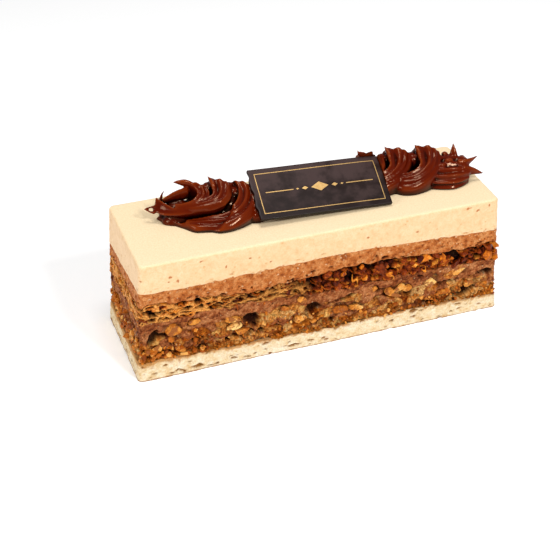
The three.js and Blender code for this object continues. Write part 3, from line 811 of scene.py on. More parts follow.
def nutShape(draw):
    bm = bmesh.new()
    bmesh.ops.create_icosphere(bm, subdivisions=2, radius=0.5)
    for v in bm.verts:
        v.co *= 1 + draw.uniform(-0.12, 0.12)
    for cut in range(6):
        normal = Vector(draw.normal(0, 1, 3)).normalized() if cut else Vector((0, 1, 0))
        geom = bm.verts[:] + bm.edges[:] + bm.faces[:]
        where = normal * (draw.uniform(0.2, 0.42) if cut else 0.24)
        bmesh.ops.bisect_plane(bm, geom=geom, plane_co=where, plane_no=normal, clear_outer=True)
        fillHoles(bm)
    bmesh.ops.recalc_face_normals(bm, faces=bm.faces)
    bm.verts.index_update()
    return shapeArrays(bm)


def makeNuts():
    draw = np.random.default_rng(nuts["seed"])
    shapes = [nutShape(draw) for _ in range(nuts["variants"])]
    around = (np.arange(nuts["count"]) + draw.uniform(-0.4, 0.4, nuts["count"])) / nuts["count"] % 1
    up = draw.beta(1.6, 1.5, nuts["count"]) * 0.82 + 0.08
    spots, outward = layerSpots(around, up, "spongeTop", "nutTop")
    length = draw.uniform(*nuts["length"], nuts["count"])
    thickness = draw.uniform(*nuts["thickness"], nuts["count"])
    tone = draw.beta(1.8, 1.4, nuts["count"])
    spread = outward[:, 1] > -0.95
    front = np.array(frontNuts)
    frontSpots = tapered(front[:, 0], np.full(len(front), -bar["width"] / 2), front[:, 1])
    spots = np.vstack([spots[spread], frontSpots])
    outward = np.vstack([outward[spread], np.tile([0, -1, 0], (len(front), 1))])
    length = np.concatenate([length[spread], front[:, 2]])
    thickness = np.concatenate([thickness[spread], front[:, 3]])
    tone = np.concatenate([tone[spread], front[:, 4]])
    count = len(tone)
    placed = np.arange(count) >= spread.sum()
    sunk = 0.2 * thickness + draw.uniform(0.2, 1.3, count) * np.where(placed, 0.6, 1) + 0.6
    places = spots - outward * sunk[:, None]
    roll = draw.normal(0, 0.45, count) * np.where(placed, 0.4, 1)
    turns = faceTurns(outward, draw.uniform(-0.15, 0.15, count), roll, draw.uniform(-0.15, 0.15, count))
    sizes = np.stack([length, thickness * 1.2, thickness], axis=1)
    turns = [turn * size for turn, size in zip(turns, sizes)]
    picks = draw.integers(0, nuts["variants"], count)
    mesh = joinMany("hazelnut_pieces", shapes, picks, turns, places, tone)
    addScatter("hazelnut_pieces", "nut_praline_cream", nuts, mesh)


crumbs = {
    "variants": 8, "count": 520, "size": (0.8, 2.4), "leftSize": 1.7, "seed": 791,
    "finish": "nutCrumb", "rough": 0.4, "gloss": 0.12, "grain": 1.0, "mottle": 0.2, "darker": 0,
    "bump": 0.2, "sharpAngle": 25,
    "tones": [(0, (96, 38, 4)), (0.4, (172, 86, 16)), (0.75, (214, 130, 42)), (1, (236, 178, 96))],
}
toffee = {
    "variants": 8, "count": 350, "size": (2.4, 6.6), "leftSize": 1, "seed": 793,
    "finish": "toffee", "rough": 0.36, "gloss": 0.12, "grain": 1.6, "mottle": 0.4, "darker": 0.2,
    "bump": 0.4, "sharpAngle": 25,
    "tones": [(0, (66, 14, 0)), (0.4, (140, 54, 3)), (0.75, (222, 122, 22)), (1, (255, 186, 84))],
}


def crumbShape(draw):
    bm = bmesh.new()
    bmesh.ops.create_icosphere(bm, subdivisions=1, radius=0.5)
    for v in bm.verts:
        v.co *= draw.uniform(0.5, 1.3)
    return shapeArrays(bm)


# Crumbs of seeded sizes and turns on given spots of the bar's face
def joinCrumbs(name, setting, draw, spots, outward, tone):
    count = len(spots)
    shapes = [crumbShape(draw) for _ in range(setting["variants"])]
    size = draw.uniform(0, 1, count) ** 2 * (setting["size"][1] - setting["size"][0]) + setting["size"][0]
    size = size * (1 + (setting["leftSize"] - 1) * smoothStep(spots[:, 0], -56, -74))
    places = spots - outward * (draw.uniform(0.2, 1.2, count) + 0.2 * size)[:, None]
    turns = faceTurns(outward, draw.uniform(-3, 3, count), draw.uniform(-3, 3, count),
                      draw.uniform(-3, 3, count))
    turns = [turn * (each * draw.uniform(0.7, 1.3, 3)) for turn, each in zip(turns, size)]
    return joinMany(name, shapes, draw.integers(0, setting["variants"], count), turns, places, tone)


# Chopped crumbs that stick to the lower part of the nut cream
def makeCrumbs():
    draw = np.random.default_rng(crumbs["seed"])
    count = crumbs["count"]
    up = 0.02 + 0.7 * draw.beta(1.0, 2.0, count)
    spots, outward = layerSpots(draw.uniform(0, 1, count), up, "spongeTop", "nutTop")
    mesh = joinCrumbs("nut_crumbs", crumbs, draw, spots, outward, draw.beta(1.3, 1.9, count))
    addScatter("nut_crumbs", "nut_praline_cream", crumbs, mesh)


# Chunks of toffee in the crisp layer, away from its lacy left end
def makeToffee():
    draw = np.random.default_rng(toffee["seed"])
    count = toffee["count"]
    around, up = draw.uniform(0, 1, count), 0.06 + 0.8 * draw.beta(1.3, 1.2, count)
    spots, outward = layerSpots(around, up, "nutTop", "crispTop")
    kept = spots[:, 0] > -12 + 14 * softNoise(spots, 9, toffee["seed"])
    mesh = joinCrumbs("toffee_chunks", toffee, draw, spots[kept], outward[kept],
                      draw.beta(1.0, 2.0, count)[kept])
    addScatter("toffee_chunks", "crisp_layer", toffee, mesh)


# The piped rope, with heights above the cake's top. Each strand is a fan of crests between an inner and an
# outer one, which climb from the back to a peak and sweep round to the front and the left. Shares and bulges
# are given at the peak and at the strand's end
rope = {
    "shiftY": 0.5, "voxel": 0.4, "smoothings": 4, "seed": 871, "steps": 48, "backSteps": 10,
    "bandColumns": 14, "wallColumns": 8,
    "groove": 0.45, "narrow": 1.9, "waver": 0.15, "hollow": 0.12, "bow": 1.0, "sunk": 0.5,
    "scale": (0.97, 1.03), "ridgePasses": (30, 90),
    "bladeColumns": 20, "bladeSteps": 16, "rough": 0.25, "roughCell": 6, "rays": 26, "reach": 7,
    # crest is painted light on the crests; the crease and pocket colours are painted shade in creases and
    # pockets
    "dark": (76, 10, 0), "warm": (94, 22, 1), "crest": (122, 46, 8), "creaseShade": (46, 3, 0),
    "pocket": (16, 1, 0), "gloss": 0.23, "sheen": (1, 0.68, 0.45, 1), "polish": (0.1, 0.2),
    "loop": {
        "inner": [(0.5, 11, 5), (2.7, 3.6, 18.0), (2.5, -1, 14.6), (0.4, -5.2, 12.6), (-3.5, -6.6, 11),
                  (-7.6, -6.2, 9.6), (-12.5, -4, 8), (-15.5, -1, 6.5)],
        "outer": [(12.5, 9, 4), (14.5, 0.4, 12.4), (13.6, -3.8, 10), (10.5, -7.7, 7.5), (5, -11.2, 5),
                  (-3.9, -13.3, 3), (-11, -11.2, 2.2), (-15.5, -5.5, 1.5)],
        "fin": [(2.2, -3, 12.6), (2.8, 1.4, 15.4), (1.6, 3.8, 18.8)],  # a thin blade at the peak
        "shares": [(0, 0.42, 0.7, 0.92, 1), (0, 0.2, 0.42, 0.66, 1)], "bulge": (2.6, 1.2), "belly": 0.2,
    },
    # Where the loops stand: x, and how far each is set back and raised
    "loops": [(58.5, 0, 0), (43.4, 2.9, 0.4), (28.6, 2.5, 1.0), (10.5, 1.5, -0.5), (-6, 1, -0.5),
              (-22.5, 1, -0.5)],
    "ends": [
        # The last two loops, a petal and a curl, which run out into the left end
        {"inner": [(-35, 12, 5), (-33.4, 7.1, 15), (-32.7, 3.1, 13), (-34.9, -2.6, 11), (-39.3, -5.9, 9),
                   (-47.9, -6.0, 6.2), (-56.3, -3.9, 4.4), (-64.4, -1.2, 3.0), (-69.6, 3.6, 2.0),
                   (-72.6, 9.5, 1.2)],
         "outer": [(-26, 8.5, 4), (-24.1, 1.5, 10.5), (-24.1, -4.1, 8), (-28.2, -10.2, 5), (-35, -14, 3),
                   (-43.5, -15.5, 2), (-51.5, -14.3, 1.6), (-57.5, -11.3, 1.4), (-62, -5.5, 1),
                   (-66.2, 0.5, 0.6), (-69.4, 6.5, 0.4)],
         "shares": [(0, 0.35, 0.7, 1), (0, 0.26, 0.56, 1)], "bulge": (2.0, 1.0), "belly": 0.2,
         "steps": [(0.36, 0.52, 1.7), (0.7, 0.77, 1.3)]},
        {"inner": [(-47.5, 12.5, 6), (-45.1, 8.1, 18.2), (-45, 3.8, 15), (-46.8, 0.7, 13.2),
                   (-51.3, 0, 12), (-56.5, 0.8, 11.2), (-61.1, 2, 10.4), (-64.5, 3, 9.6)],
         "outer": [(-37.5, 9.5, 4), (-35.6, 5.2, 13), (-37, -0.5, 10.8), (-41.2, -4.2, 9),
                   (-48.4, -4.8, 8), (-55.9, -3.4, 7.4), (-61.1, -0.8, 7), (-64.8, 2, 7)],
         "shares": [(0, 0.4, 0.75, 1), (0, 0.3, 0.6, 1)], "bulge": (1.8, 1.0), "belly": 0.16,
         "pulls": (1.6, -0.45)},
        {"inner": [(-43.1, -4, 11.2), (-48, -3.9, 10.2), (-53.6, -2.6, 9.2), (-59.2, -1.3, 8.8),
                   (-64.1, 0.7, 8.8), (-67.5, 3.9, 9.8), (-70.2, 6.5, 11.4), (-72.4, 7.9, 13.4)],
         "outer": [(-40.8, -4.4, 9), (-47.1, -5.3, 8), (-52.7, -4.2, 7.2), (-58.7, -2.8, 6.6),
                   (-65.2, -1.1, 6.2), (-70.5, 1.2, 6), (-73.1, 4, 6.2), (-74.8, 6.2, 6.6)],
         "shares": [(0, 1), (0, 1)], "bulge": (0, 0), "lift": 0.75, "peaked": False, "pulls": (3.6, -0.9),
         "groove": 0.16},
        {"inner": [(-57, 11.5, 8), (-56.4, 8.8, 17.3), (-53.6, 6.5, 15.8), (-53.2, 3.3, 13.6),
                   (-56.5, 0.9, 12), (-62.2, 1.6, 10.8), (-66, 5.6, 10.2)],
         "outer": [(-49.5, 10.5, 7), (-48.6, 6.6, 15.6), (-47.1, 3.7, 13.8), (-48.3, 0, 12.2),
                   (-51.8, -1.5, 11), (-58, -0.7, 9.9), (-63.2, 1.9, 9)],
         "shares": [(0, 0.5, 1), (0, 0.5, 1)], "bulge": (0.9, 0.6)},
        # The right end, which lies along the bar
        {"inner": [(87, -1, 7.6), (84, 1.5, 8.6), (79, 4, 9.6), (72, 5, 9.4), (63, 6, 8)],
         "outer": [(84.6, -10.4, 0.2), (79.7, -13.6, 0.4), (74.7, -15, 0.6), (68.9, -13.4, 0.6),
                   (63, -10.2, 0.4)],
         "shares": [(0, 0.2, 0.4, 0.58, 0.76, 0.92, 1)] * 2, "bulge": (5.6, 5.6), "peaked": False},
    ],
    "finSizes": ((0.6, 2.1, 0.25), (0.6, 1.2, 0.25)),
    # Filling under and between the loops: middles and radii
    "cores": [((8, 0, 0), (66, 8, 8)), ((-54, 4, 0), (17, 6.5, 6.5)), ((-38, 3, 0), (8, 7, 10)),
              ((55, 4, 5), (5, 6, 7)), ((39.5, 6.5, 5), (5, 6, 7)), ((-40, 8, 8), (5, 4, 5)),
              ((76, -1, 9), (3.2, 3, 2.4)), ((83, -4, 8.5), (3.5, 3, 3)), ((-62, 9, 1), (9, 6, 7)),
              ((-36, 8, 8), (3.5, 4, 5.5)), ((72, -1, 11.4), (2.4, 1.8, 1.4)),
              ((75.4, -4.4, 11.2), (2.4, 1.5, 1.2)), ((69.6, 2.6, 10.8), (2, 2, 1.5)),
              ((82.4, -3.4, 10.2), (2.2, 1.8, 1.5)), ((76, 1.6, 11.4), (1.8, 1.8, 1.5)),
              ((84.6, -0.6, 9), (1.8, 1.8, 1.4)), ((71.2, -6, 10.2), (2.2, 1.2, 1)),
              ((58.8, 3.6, 9.8), (3.4, 4.4, 4.8)), ((43.8, 6.4, 10.2), (3.4, 4.4, 4.8)),
              ((-34.6, 5, 8), (3, 4, 4.4)), ((-46.8, 8.4, 10.4), (2.8, 3.6, 4.8))],
    # Blades that the nozzle drew out: root, bend and tip, then their heights and thicknesses
    "blades": [
        ([(80.9, -8.8, 7), (86.3, -9.3, 5.6), (92.4, -9.9, 3.6)], (3, 2.2, 0.3), (1.8, 1.2, 0.3)),
        ([(79.6, -6.6, 9.6), (84.6, -7.2, 10.2), (91, -5.1, 11.2)], (2.4, 1.8, 0.3), (1.8, 1, 0.3)),
        ([(79, -2.3, 8), (79.8, -0.5, 12.5), (80.3, 1.6, 17)], (1.4, 1, 0.3), (2.4, 2, 0.3)),
        ([(-45, 1.6, 12.6), (-44.8, 5.4, 15.6), (-46.2, 8.6, 18.8)], (0.6, 2.1, 0.25), (0.6, 1.2, 0.25)),
        ([(-71.9, 6.3, 8.5), (-75.1, 7.2, 8), (-78.4, 7.9, 7.2)], (0.8, 0.55, 0.35), (0.8, 0.55, 0.35)),
        ([(-73.8, 5.3, 5.5), (-76.1, 5.9, 6.4), (-78.4, 7.9, 7.2)], (0.8, 0.55, 0.35), (0.8, 0.55, 0.35)),
        ([(-69.3, 12, 7), (-68.4, 11.9, 10.8), (-67.1, 11.9, 13)], (1.2, 0.6, 0.3), (1.2, 0.6, 0.3)),
        ([(-52, 8.6, 14.6), (-57.5, 9.7, 16.6), (-63, 10.2, 17.8)], (0.8, 1.9, 0.3), (0.8, 1.2, 0.3)),
        ([(-56, 8.6, 11.6), (-62.5, 9.1, 10.4), (-69, 9, 8.8)], (3.4, 2.8, 1.4), (1.4, 1.1, 0.6)),
    ],
}


# A smooth line through its knots, with as many values at each knot as are wanted
def smoothLine(knots, steps):
    knots = np.asarray(knots, float)
    padded = np.vstack([2 * knots[0] - knots[1], knots, 2 * knots[-1] - knots[-2]])
    line = []
    for at in np.linspace(0, len(knots) - 1, steps + 1):
        first = min(int(at), len(knots) - 2)
        part = at - first
        before, start, end, after = padded[first:first + 4]
        bend = 2 * before - 5 * start + 4 * end - after
        twist = 3 * (start - end) + after - before
        line.append(start + 0.5 * part * (end - before + part * (bend + part * twist)))
    return np.array(line)


# A peaked crest bows out at the back up to its peak, its second knot, and is smooth from there
def crestLine(knots, peaked):
    if not peaked:
        return smoothLine(knots, rope["steps"])
    climb = smoothLine(knots[:2], rope["backSteps"])[:-1]
    rise = np.subtract(knots[1], knots[0])
    outward = np.array((0, rise[2], -rise[1])) / math.hypot(rise[1], rise[2])
    climb = climb + outward * (rope["bow"] * np.sin(math.pi * np.arange(len(climb)) / len(climb)))[:, None]
    return np.vstack([climb, smoothLine(knots[1:], rope["steps"])])


# A strand under its fan of crests, with a groove between each two and a wall down to the cake on either side
def fanStrand(strand, at):
    peaked = strand.get("peaked", True)
    inner, outer = crestLine(strand["inner"], peaked), crestLine(strand["outer"], peaked)
    rows = len(inner) - 1
    across = outer - inner
    unit = across / np.linalg.norm(across, axis=1)[:, None]
    above = np.array((0, 0, 1)) - unit * unit[:, 2:]
    above /= np.linalg.norm(above, axis=1)[:, None]
    gone = np.clip((np.arange(rows + 1) - rope["backSteps"] * peaked) / rope["steps"], 0, 1)
    bulge = strand["bulge"][0] + (strand["bulge"][1] - strand["bulge"][0]) * gone
    shareAt = np.array([atPeak + (atEnd - atPeak) * gone for atPeak, atEnd in zip(*strand["shares"])])
    lines = []
    for share in shareAt:
        arched = above * (bulge * np.sqrt(4 * share * (1 - share)))[:, None]
        lines.append(inner + across * share[:, None] + arched)
    bands = len(lines) - 1
    middle = np.mean(lines, axis=0)
    rise = strand.get("lift", 0) * smoothStep(np.arange(rows + 1) / rows, 0.55, 1.0)
    for line, pull in zip((outer, inner), strand.get("pulls", (0.3, -0.45))):
        foot = line + (middle - line) * pull
        foot[:, 2] = -1 + rise * (line[:, 2] - 1)
        lines.append(foot)
    corners = np.array(lines)
    counts = [rope["bandColumns"]] * bands + [rope["wallColumns"]] * 3
    bandOf = np.repeat(np.arange(len(counts)), counts)
    partOf = np.concatenate([np.arange(count) / count for count in counts])
    # Grooves fade towards the peak, but the back is as ridged as the front
    behind = smoothStep(np.arange(rows + 1) / rope["backSteps"], 0.9, 0.3)
    depth = 1 - 0.6 * smoothStep(gone, 0.2, 0.0) * (1 - behind) * peaked
    depth = strand.get("groove", rope["groove"]) * depth

    def place(around, up):
        row = np.round(up * rows).astype(int)
        column = np.round(around * len(bandOf)).astype(int) % len(bandOf)
        band, part = bandOf[column], partOf[column][:, None]
        first, second = corners[band, row], corners[(band + 1) % len(corners), row]
        spots = first + (second - first) * part
        inward = middle[row] * (1, 1, 0.3) - spots
        inward /= np.linalg.norm(inward, axis=1)[:, None]
        width = np.linalg.norm(second - first, axis=1)[:, None]
        sunk = depth[row][:, None] * width * (1 - np.abs(2 * part - 1)) ** rope["narrow"]
        sunk = np.where((band < bands)[:, None], sunk, 0)
        arch = width * np.sin(math.pi * part)
        if "belly" in strand:
            belly = strand["belly"] * gone[row][:, None] * arch
            sunk = np.where((band == bands - 1)[:, None], -belly, sunk)
        sunk = np.where((band == bands + 2)[:, None] & peaked, rope["hollow"] * arch, sunk)
        low, high = shareAt[np.minimum(band, bands), row], shareAt[np.minimum(band + 1, bands), row]
        over = np.where(band < bands, low + (high - low) * part[:, 0], np.where(band == bands, 1.0, 0.0))
        for innerAt, outerAt, drop in strand.get("steps", ()):  # one lobe ends on the next
            past = gone[row] - innerAt - (outerAt - innerAt) * over
            sunk = sunk + (drop * smoothStep(past, -0.008, 0.012) * smoothStep(past, 0.2, 0.02))[:, None]
        spots = spots + inward * sunk + at
        wobble = inward * softNoise(spots, rope["roughCell"], rope["seed"])[:, None]
        return spots + wobble * rope["rough"], {}

    return wrapGrid(len(bandOf), rows, place)


# Directions to the side of a line and above it, carried along without twist
def carriedAxes(line):
    forward = np.gradient(line, axis=0)
    forward /= np.linalg.norm(forward, axis=1)[:, None]
    side = np.cross(forward[0], (0, 0, 1))
    sides = []
    for ahead in forward:
        side = side - ahead * side.dot(ahead)
        side = side / np.linalg.norm(side)
        sides.append(side)
    sides = np.array(sides)
    return sides, np.cross(sides, forward)


# A curved blade, thin sideways and deep upwards
def drawnBlade(path, heights, thicknesses):
    steps = rope["bladeSteps"]
    line = smoothLine(np.column_stack([path, heights, thicknesses]), steps)
    sides, ups = carriedAxes(line[:, :3])

    def place(around, up):
        row = np.round(up * steps).astype(int)
        angle = 2 * math.pi * around
        aside = sides[row] * (np.cos(angle) * line[row, 4])[:, None]
        above = ups[row] * (np.sin(angle) * line[row, 3])[:, None]
        return line[row, :3] + (aside + above), {}

    return wrapGrid(rope["bladeColumns"], steps, place)


plaque = {
    "width": 67.4, "height": 28.2, "thickness": 1.8, "edge": (5.6, -17.2, 68.4),
    "yaw": -1.8, "tilt": 2.5, "lean": 29, "gap": 0.3, "bevel": 0.3, "columns": 64, "rows": 28,
    "wavyEdge": 3, "bentCorner": 14,
    "dark": (26, 10, 7), "bloomAndSheen": (60, 43, 41), "rim": (14, 4, 2), "gloss": 0.2, "polish": (0.32, 0.55),
}


def plaqueMatrix():
    turns = [Matrix.Rotation(math.radians(plaque[key]), 4, axis)
             for key, axis in (("yaw", "Z"), ("tilt", "Y"), ("lean", "X"))]
    turn = turns[0] @ turns[1] @ turns[2]
    return Matrix.Translation(Vector(plaque["edge"]) * mm) @ turn


def evaluatedMesh(holder):
    view = bpy.context.evaluated_depsgraph_get()
    made = bpy.data.meshes.new_from_object(holder.evaluated_get(view))
    bpy.data.objects.remove(holder)
    return made


def holderOf(mesh):
    holder = bpy.data.objects.new("holder", mesh)
    scene.collection.objects.link(holder)
    return holder


def makeRope():
    shift = np.array((0, rope["shiftY"], bar["height"]))
    draw = np.random.default_rng(rope["seed"])
    strands = []
    for x, back, raised in rope["loops"]:
        loop = dict(rope["loop"])
        scale = draw.uniform(*rope["scale"], 3)
        for crest in ("inner", "outer"):
            knots = np.array(loop[crest], float) * scale
            loop[crest] = knots + draw.normal(0, rope["waver"], knots.shape)
        strands.append(fanStrand(loop, shift + (x, back, raised)))
        strands.append(drawnBlade(loop["fin"] + shift + (x, back, raised), *rope["finSizes"]))
    strands += [fanStrand(end, shift) for end in rope["ends"]]
    strands += [drawnBlade(shift + path, *sizes) for path, *sizes in rope["blades"]]
    for middle, radii in rope["cores"]:
        heart = bmesh.new()
        bmesh.ops.create_icosphere(heart, subdivisions=4, radius=1)
        bmesh.ops.scale(heart, verts=heart.verts, vec=Vector(radii) * mm)
        bmesh.ops.translate(heart, verts=heart.verts, vec=Vector(shift + middle) * mm)
        strands.append(heart)
    whole = bmesh.new()
    for strand in strands:
        whole.from_mesh(meshFrom(strand, "strand"))
    holder = holderOf(meshFrom(whole, "strands"))
    fuse = holder.modifiers.new("fuse", "REMESH")
    fuse.mode = "VOXEL"
    fuse.voxel_size = rope["voxel"] * mm
    fused = evaluatedMesh(holder)

    # Cut flat on the cake, and cut away where the plaque lies
    bm = bmesh.new()
    bm.from_mesh(fused)
    for _ in range(rope["smoothings"]):
        smoothOver(bm, 0.5)
    geom = bm.verts[:] + bm.edges[:] + bm.faces[:]
    foot = (0, 0, (bar["height"] - rope["sunk"]) * mm)
    bmesh.ops.bisect_plane(bm, geom=geom, plane_co=foot, plane_no=(0, 0, -1), clear_outer=True)
    fillHoles(bm)
    holder = holderOf(meshFrom(bm, "footed"))
    room = bmesh.new()
    bmesh.ops.create_cube(room, size=1)
    reach = 40
    size = (plaque["width"] + 2 * plaque["gap"], plaque["height"] + 2 * plaque["gap"], reach)
    bmesh.ops.scale(room, verts=room.verts, vec=Vector(size) * mm)
    lift = reach / 2 - plaque["thickness"] - plaque["gap"]
    bmesh.ops.translate(room, verts=room.verts, vec=Vector((0, plaque["height"] / 2, lift)) * mm)
    bmesh.ops.transform(room, verts=room.verts, matrix=plaqueMatrix())
    cutter = holderOf(meshFrom(room, "room"))
    cut = holder.modifiers.new("cut", "BOOLEAN")
    cut.operation = "DIFFERENCE"
    cut.solver = "MANIFOLD"
    cut.object = cutter
    mesh = evaluatedMesh(holder)
    bpy.data.objects.remove(cutter)
    markRidges(mesh)
    markPockets(mesh)

    print("rope:", len(mesh.polygons), "faces")
    sockets = {"Specular IOR Level": rope["gloss"], "Specular Tint": rope["sheen"]}
    material, tree, shader = startMaterial("glossyGanache", sockets)
    ridge = readMark(tree, "ridge")
    smear = addGrain(tree, 6.0)
    pocket = stepUp(tree, readMark(tree, "pocket"), 0.15, 0.75)
    colour = mixTints(tree, smear["Patch"], tint(*rope["dark"]), tint(*rope["warm"]))
    # Crests are painted lighter: painted light on the crests
    colour = mixTints(tree, stepUp(tree, ridge, 0.58, 1.15), colour, tint(*rope["crest"]))
    # Creases are painted near black: painted shade
    colour = mixTints(tree, stepUp(tree, ridge, 0.48, 0.2), colour, tint(*rope["creaseShade"]))
    # Pockets are painted near black: painted shade
    colour = mixTints(tree, pocket, colour, tint(*rope["pocket"]))
    tree.links.new(colour, shader.inputs["Base Color"])
    varyRoughness(tree, shader, smear["Grain"], *rope["polish"])
    addPiece("ganache_rope", mesh, material, "piped_ganache", 70)


# How far each point stands proud of the smoothed rope, from 0 in a crease to 1 on a crest, lowered where the
# surface faces down so that it is painted darker as shade under overhangs
def markRidges(mesh):
    count = len(mesh.vertices)
    spots = np.empty(count * 3)
    mesh.vertices.foreach_get("co", spots)
    normals = np.empty(count * 3)
    mesh.vertex_normals.foreach_get("vector", normals)
    spots, normals = spots.reshape(-1, 3) / mm, normals.reshape(-1, 3)
    pairs = np.empty(len(mesh.edges) * 2, np.int64)
    mesh.edges.foreach_get("vertices", pairs)
    pairs = pairs.reshape(-1, 2)
    links = np.maximum(np.bincount(pairs.ravel(), minlength=count), 1)

    def neighbourMean(values):
        return (np.bincount(pairs[:, 0], values[pairs[:, 1]], count)
                + np.bincount(pairs[:, 1], values[pairs[:, 0]], count)) / links

    smoothed, proud = spots, 0
    for passes in rope["ridgePasses"]:
        for _ in range(passes):
            smoothed = np.stack([neighbourMean(smoothed[:, axis]) for axis in range(3)], axis=1)
        proud = proud + 0.6 * np.einsum("ij,ij->i", spots - smoothed, normals)
    under = smoothStep(normals[:, 2], 0.25, -0.6)
    for _ in range(3):
        proud = 0.4 * proud + 0.6 * neighbourMean(proud)
    writeMark(mesh, "ridge", np.clip(0.5 + proud / 2.0 - 0.35 * under, 0, 1))


# How far each point is shut in by the rope and the cake, from 0 in the open to 1 in a deep pocket, for
# painted shade in pockets
def markPockets(mesh):
    tree = BVHTree.FromPolygons([v.co[:] for v in mesh.vertices], [p.vertices[:] for p in mesh.polygons])
    turn = math.pi * (3 - math.sqrt(5))
    heights = 1 - 2 * (np.arange(rope["rays"]) + 0.5) / rope["rays"]
    rings = np.sqrt(1 - heights ** 2)
    angles = turn * np.arange(rope["rays"])
    aims = np.column_stack([rings * np.cos(angles), rings * np.sin(angles), heights])
    aims = [Vector(aim) for aim in aims]
    reach, floor = rope["reach"] * mm, bar["height"] * mm
    shut = []
    for vertex in mesh.vertices:
        normal = vertex.normal
        start = vertex.co + normal * 0.3 * mm
        met = seen = 0
        for aim in aims:
            weight = aim.dot(normal)
            if weight > 0.15:
                seen += weight
                onCake = aim.z < 0 and (floor - start.z) / aim.z < reach
                met += weight * (onCake or tree.ray_cast(start, aim, reach)[0] is not None)
        shut.append(met / max(seen, 0.1))
    writeMark(mesh, "pocket", shut)


def makePlaque():
    bm = bmesh.new()
    bmesh.ops.create_grid(bm, x_segments=plaque["columns"], y_segments=plaque["rows"], size=0.5)
    bmesh.ops.scale(bm, verts=bm.verts, vec=(plaque["width"] * mm, plaque["height"] * mm, 1))
    bmesh.ops.translate(bm, verts=bm.verts, vec=(0, plaque["height"] / 2 * mm, 0))
    for v in bm.verts:
        v.co = plaqueWarp(v.co / mm) * mm
    bmesh.ops.solidify(bm, geom=bm.faces[:], thickness=plaque["thickness"] * mm)
    bmesh.ops.recalc_face_normals(bm, faces=bm.faces)
    sharp = [e for e in bm.edges if e.calc_face_angle(0) > math.radians(60)]
    bmesh.ops.bevel(bm, geom=sharp, offset=plaque["bevel"] * mm, segments=2, profile=0.5, affect="EDGES",
                    material=-1)
    heights = [v.co.y / mm / plaque["height"] for v in bm.verts]
    depths = [plaqueWarp(v.co / mm * Vector((1, 1, 0))).z - v.co.z / mm for v in bm.verts]
    bmesh.ops.transform(bm, verts=bm.verts, matrix=plaqueMatrix())
    mesh = meshFrom(bm, "plaque")
    writeMark(mesh, "height", heights)
    writeMark(mesh, "depth", depths)

    material, tree, shader = startMaterial("plaqueChocolate", {"Specular IOR Level": plaque["gloss"]})
    smear = addGrain(tree, 9.0)
    # Paler grey towards the top, a painted sheen, broken by smears of bloom
    bloomAndSheen = combine(tree, "ADD", readMark(tree, "height"), combine(tree, "SUBTRACT", smear["Grain"], 0.5))
    # The sides and back are painted near black, darker than the front: painted shade
    rim = stepUp(tree, readMark(tree, "depth"), 0.15, 0.4)
    colour = mixTints(tree, stepUp(tree, bloomAndSheen, 0.0, 1.1), tint(*plaque["dark"]), tint(*plaque["bloomAndSheen"]))
    colour = mixTints(tree, rim, colour, tint(*plaque["rim"]))
    tree.links.new(colour, shader.inputs["Base Color"])
    varyRoughness(tree, shader, smear["Grain"], *plaque["polish"])
    addPiece("plaque", mesh, material, "chocolate_plaque", 40)


# The plaque isn't quite flat: its left edge wavers and its upper right corner bends back
def plaqueWarp(spot):
    x, y, z = spot
    halfWidth = plaque["width"] / 2
    edge, bent = plaque["wavyEdge"], plaque["bentCorner"]
    left = max(0, (-x - halfWidth + edge) / edge)
    corner = max(0, (x + y - halfWidth - plaque["height"] + bent) / bent)
    x += left * (0.35 * math.sin(y * 0.55) + 0.2 * math.sin(y * 1.3 + 1))
    z += 0.12 * math.sin(x * 0.09 + 0.6) - 0.9 * corner * corner
    return Vector((x, y, z))


# A thin frame, lozenges and rules: x from the middle, half length, half height
gilding = {
    "rim": 2.8, "line": 0.35, "rise": 0.05, "middle": 14.4,
    "lozenges": [(0, 4.4, 2.6), (7.6, 1.6, 1.0), (11.4, 0.8, 0.5)], "rules": [(20.5, 7.0, 0.22)],
    "metal": 0.55, "rough": 0.42, "grain": 0.8, "gold": (190, 146, 84), "light": (214, 176, 112),
}


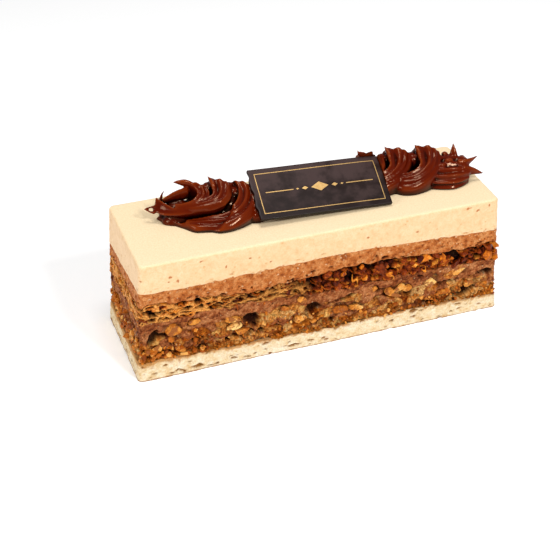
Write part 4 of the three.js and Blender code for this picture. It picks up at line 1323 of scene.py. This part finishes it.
def makeGilding():
    bm = bmesh.new()
    innerWidth = plaque["width"] - 2 * gilding["rim"]
    innerHeight = plaque["height"] - 2 * gilding["rim"]
    bmesh.ops.create_grid(bm, x_segments=1, y_segments=1, size=0.5)
    bmesh.ops.scale(bm, verts=bm.verts, vec=(innerWidth, innerHeight, 1))
    bmesh.ops.translate(bm, verts=bm.verts, vec=(0, plaque["height"] / 2, 0))
    field = bm.faces[:]
    bmesh.ops.inset_region(bm, faces=field, thickness=gilding["line"], use_even_offset=True,
                           use_boundary=True)
    bmesh.ops.delete(bm, geom=field, context="FACES")

    def stamp(made, x, halfLength, halfHeight):
        bmesh.ops.scale(bm, verts=made["verts"], vec=(halfLength, halfHeight, 1))
        bmesh.ops.translate(bm, verts=made["verts"], vec=(x, gilding["middle"], 0))

    for x, *half in gilding["lozenges"]:
        for side in {x, -x}:  # one in the middle, the others in pairs
            stamp(bmesh.ops.create_circle(bm, cap_ends=True, segments=4, radius=1), side, *half)
    for x, *half in gilding["rules"]:
        for side in (x, -x):
            stamp(bmesh.ops.create_grid(bm, x_segments=1, y_segments=1, size=1), side, *half)
    longEdges = [e for e in bm.edges if e.calc_length() > 6]
    bmesh.ops.subdivide_edges(bm, edges=longEdges, cuts=15, use_grid_fill=True)
    for v in bm.verts:
        v.co = plaqueWarp(v.co)
    bmesh.ops.recalc_face_normals(bm, faces=bm.faces)
    for face in bm.faces:
        if face.normal.z < 0:
            face.normal_flip()
    bmesh.ops.solidify(bm, geom=bm.faces[:], thickness=2 * gilding["rise"])
    bmesh.ops.recalc_face_normals(bm, faces=bm.faces)
    bmesh.ops.translate(bm, verts=bm.verts, vec=(0, 0, gilding["rise"]))
    bmesh.ops.scale(bm, verts=bm.verts, vec=(mm, mm, mm))
    bmesh.ops.transform(bm, verts=bm.verts, matrix=plaqueMatrix())
    sockets = {"Metallic": gilding["metal"], "Roughness": gilding["rough"]}
    material, tree, shader = startMaterial("goldInk", sockets)
    grain = addGrain(tree, gilding["grain"])["Grain"]
    colour = mixTints(tree, grain, tint(*gilding["gold"]), tint(*gilding["light"]))
    tree.links.new(colour, shader.inputs["Base Color"])
    mesh = meshFrom(bm, "plaque_gilding")
    addPiece("plaque_gilding", mesh, material, "chocolate_plaque", 40)


# Camera, lights and floor
studio = {
    "eye": (-203.324, -542.225, 405.138), "lookAt": (-18.06, -14.91, 32.5), "roll": -0.306, "lens": 87.81,
    "sensor": 36.0, "world": 0.28, "lampAim": (0, 0, 0.04),
    "lamps": [("topBox", (0.0, -0.1, 1.3), 0.4, 7.0), ("key", (0.35, -0.9, 0.9), 0.22, 9.0),
              ("fill", (-1.0, -0.35, 0.5), 0.35, 4.5)],
    "floor": (254, 254, 254), "floorSize": 3, "glow": 0.14,
}


def makeStudio():
    camera = bpy.data.objects.new("camera", bpy.data.cameras.new("camera"))
    scene.collection.objects.link(camera)
    eye = Vector(studio["eye"]) * mm
    look = Vector(studio["lookAt"]) * mm - eye
    turn = look.to_track_quat("-Z", "Y").to_matrix() @ Matrix.Rotation(math.radians(studio["roll"]), 3, "Z")
    camera.matrix_world = Matrix.Translation(eye) @ turn.to_4x4()
    camera.data.lens = studio["lens"]
    camera.data.sensor_width = studio["sensor"]
    scene.camera = camera
    scene.world = bpy.data.worlds.new("studioAir")
    scene.world.use_nodes = True
    air = scene.world.node_tree.nodes["Background"]
    air.inputs["Color"].default_value = (1, 1, 1, 1)
    air.inputs["Strength"].default_value = studio["world"]
    for name, place, size, power in studio["lamps"]:
        lamp = bpy.data.lights.new(name, "AREA")
        lamp.size = size
        lamp.energy = power
        holder = bpy.data.objects.new(name, lamp)
        turn = (Vector(studio["lampAim"]) - Vector(place)).to_track_quat("-Z", "Y")
        holder.matrix_world = Matrix.Translation(place) @ turn.to_matrix().to_4x4()
        scene.collection.objects.link(holder)
    bm = bmesh.new()
    bmesh.ops.create_grid(bm, x_segments=1, y_segments=1, size=studio["floorSize"])
    sockets = {"Base Color": tint(*studio["floor"]), "Roughness": 0.9, "Specular IOR Level": 0.1}
    material, _, _ = startMaterial("paleFloor", {**sockets, "Emission Strength": studio["glow"]})
    mesh = meshFrom(bm, "floor")
    mesh.materials.append(material)
    floor = bpy.data.objects.new("floor", mesh)
    scene.collection.objects.link(floor)
    print("studio: a camera, a floor and", len(studio["lamps"]), "lamps")


makeStudio()
makeSponge()
makeNutCream()
makeNuts()
makeCrumbs()
makeCrisp()
makeFlakes()
makeToffee()
makeMilkMousse()
makeCreamMousse()
makeRope()
makePlaque()
makeGilding()
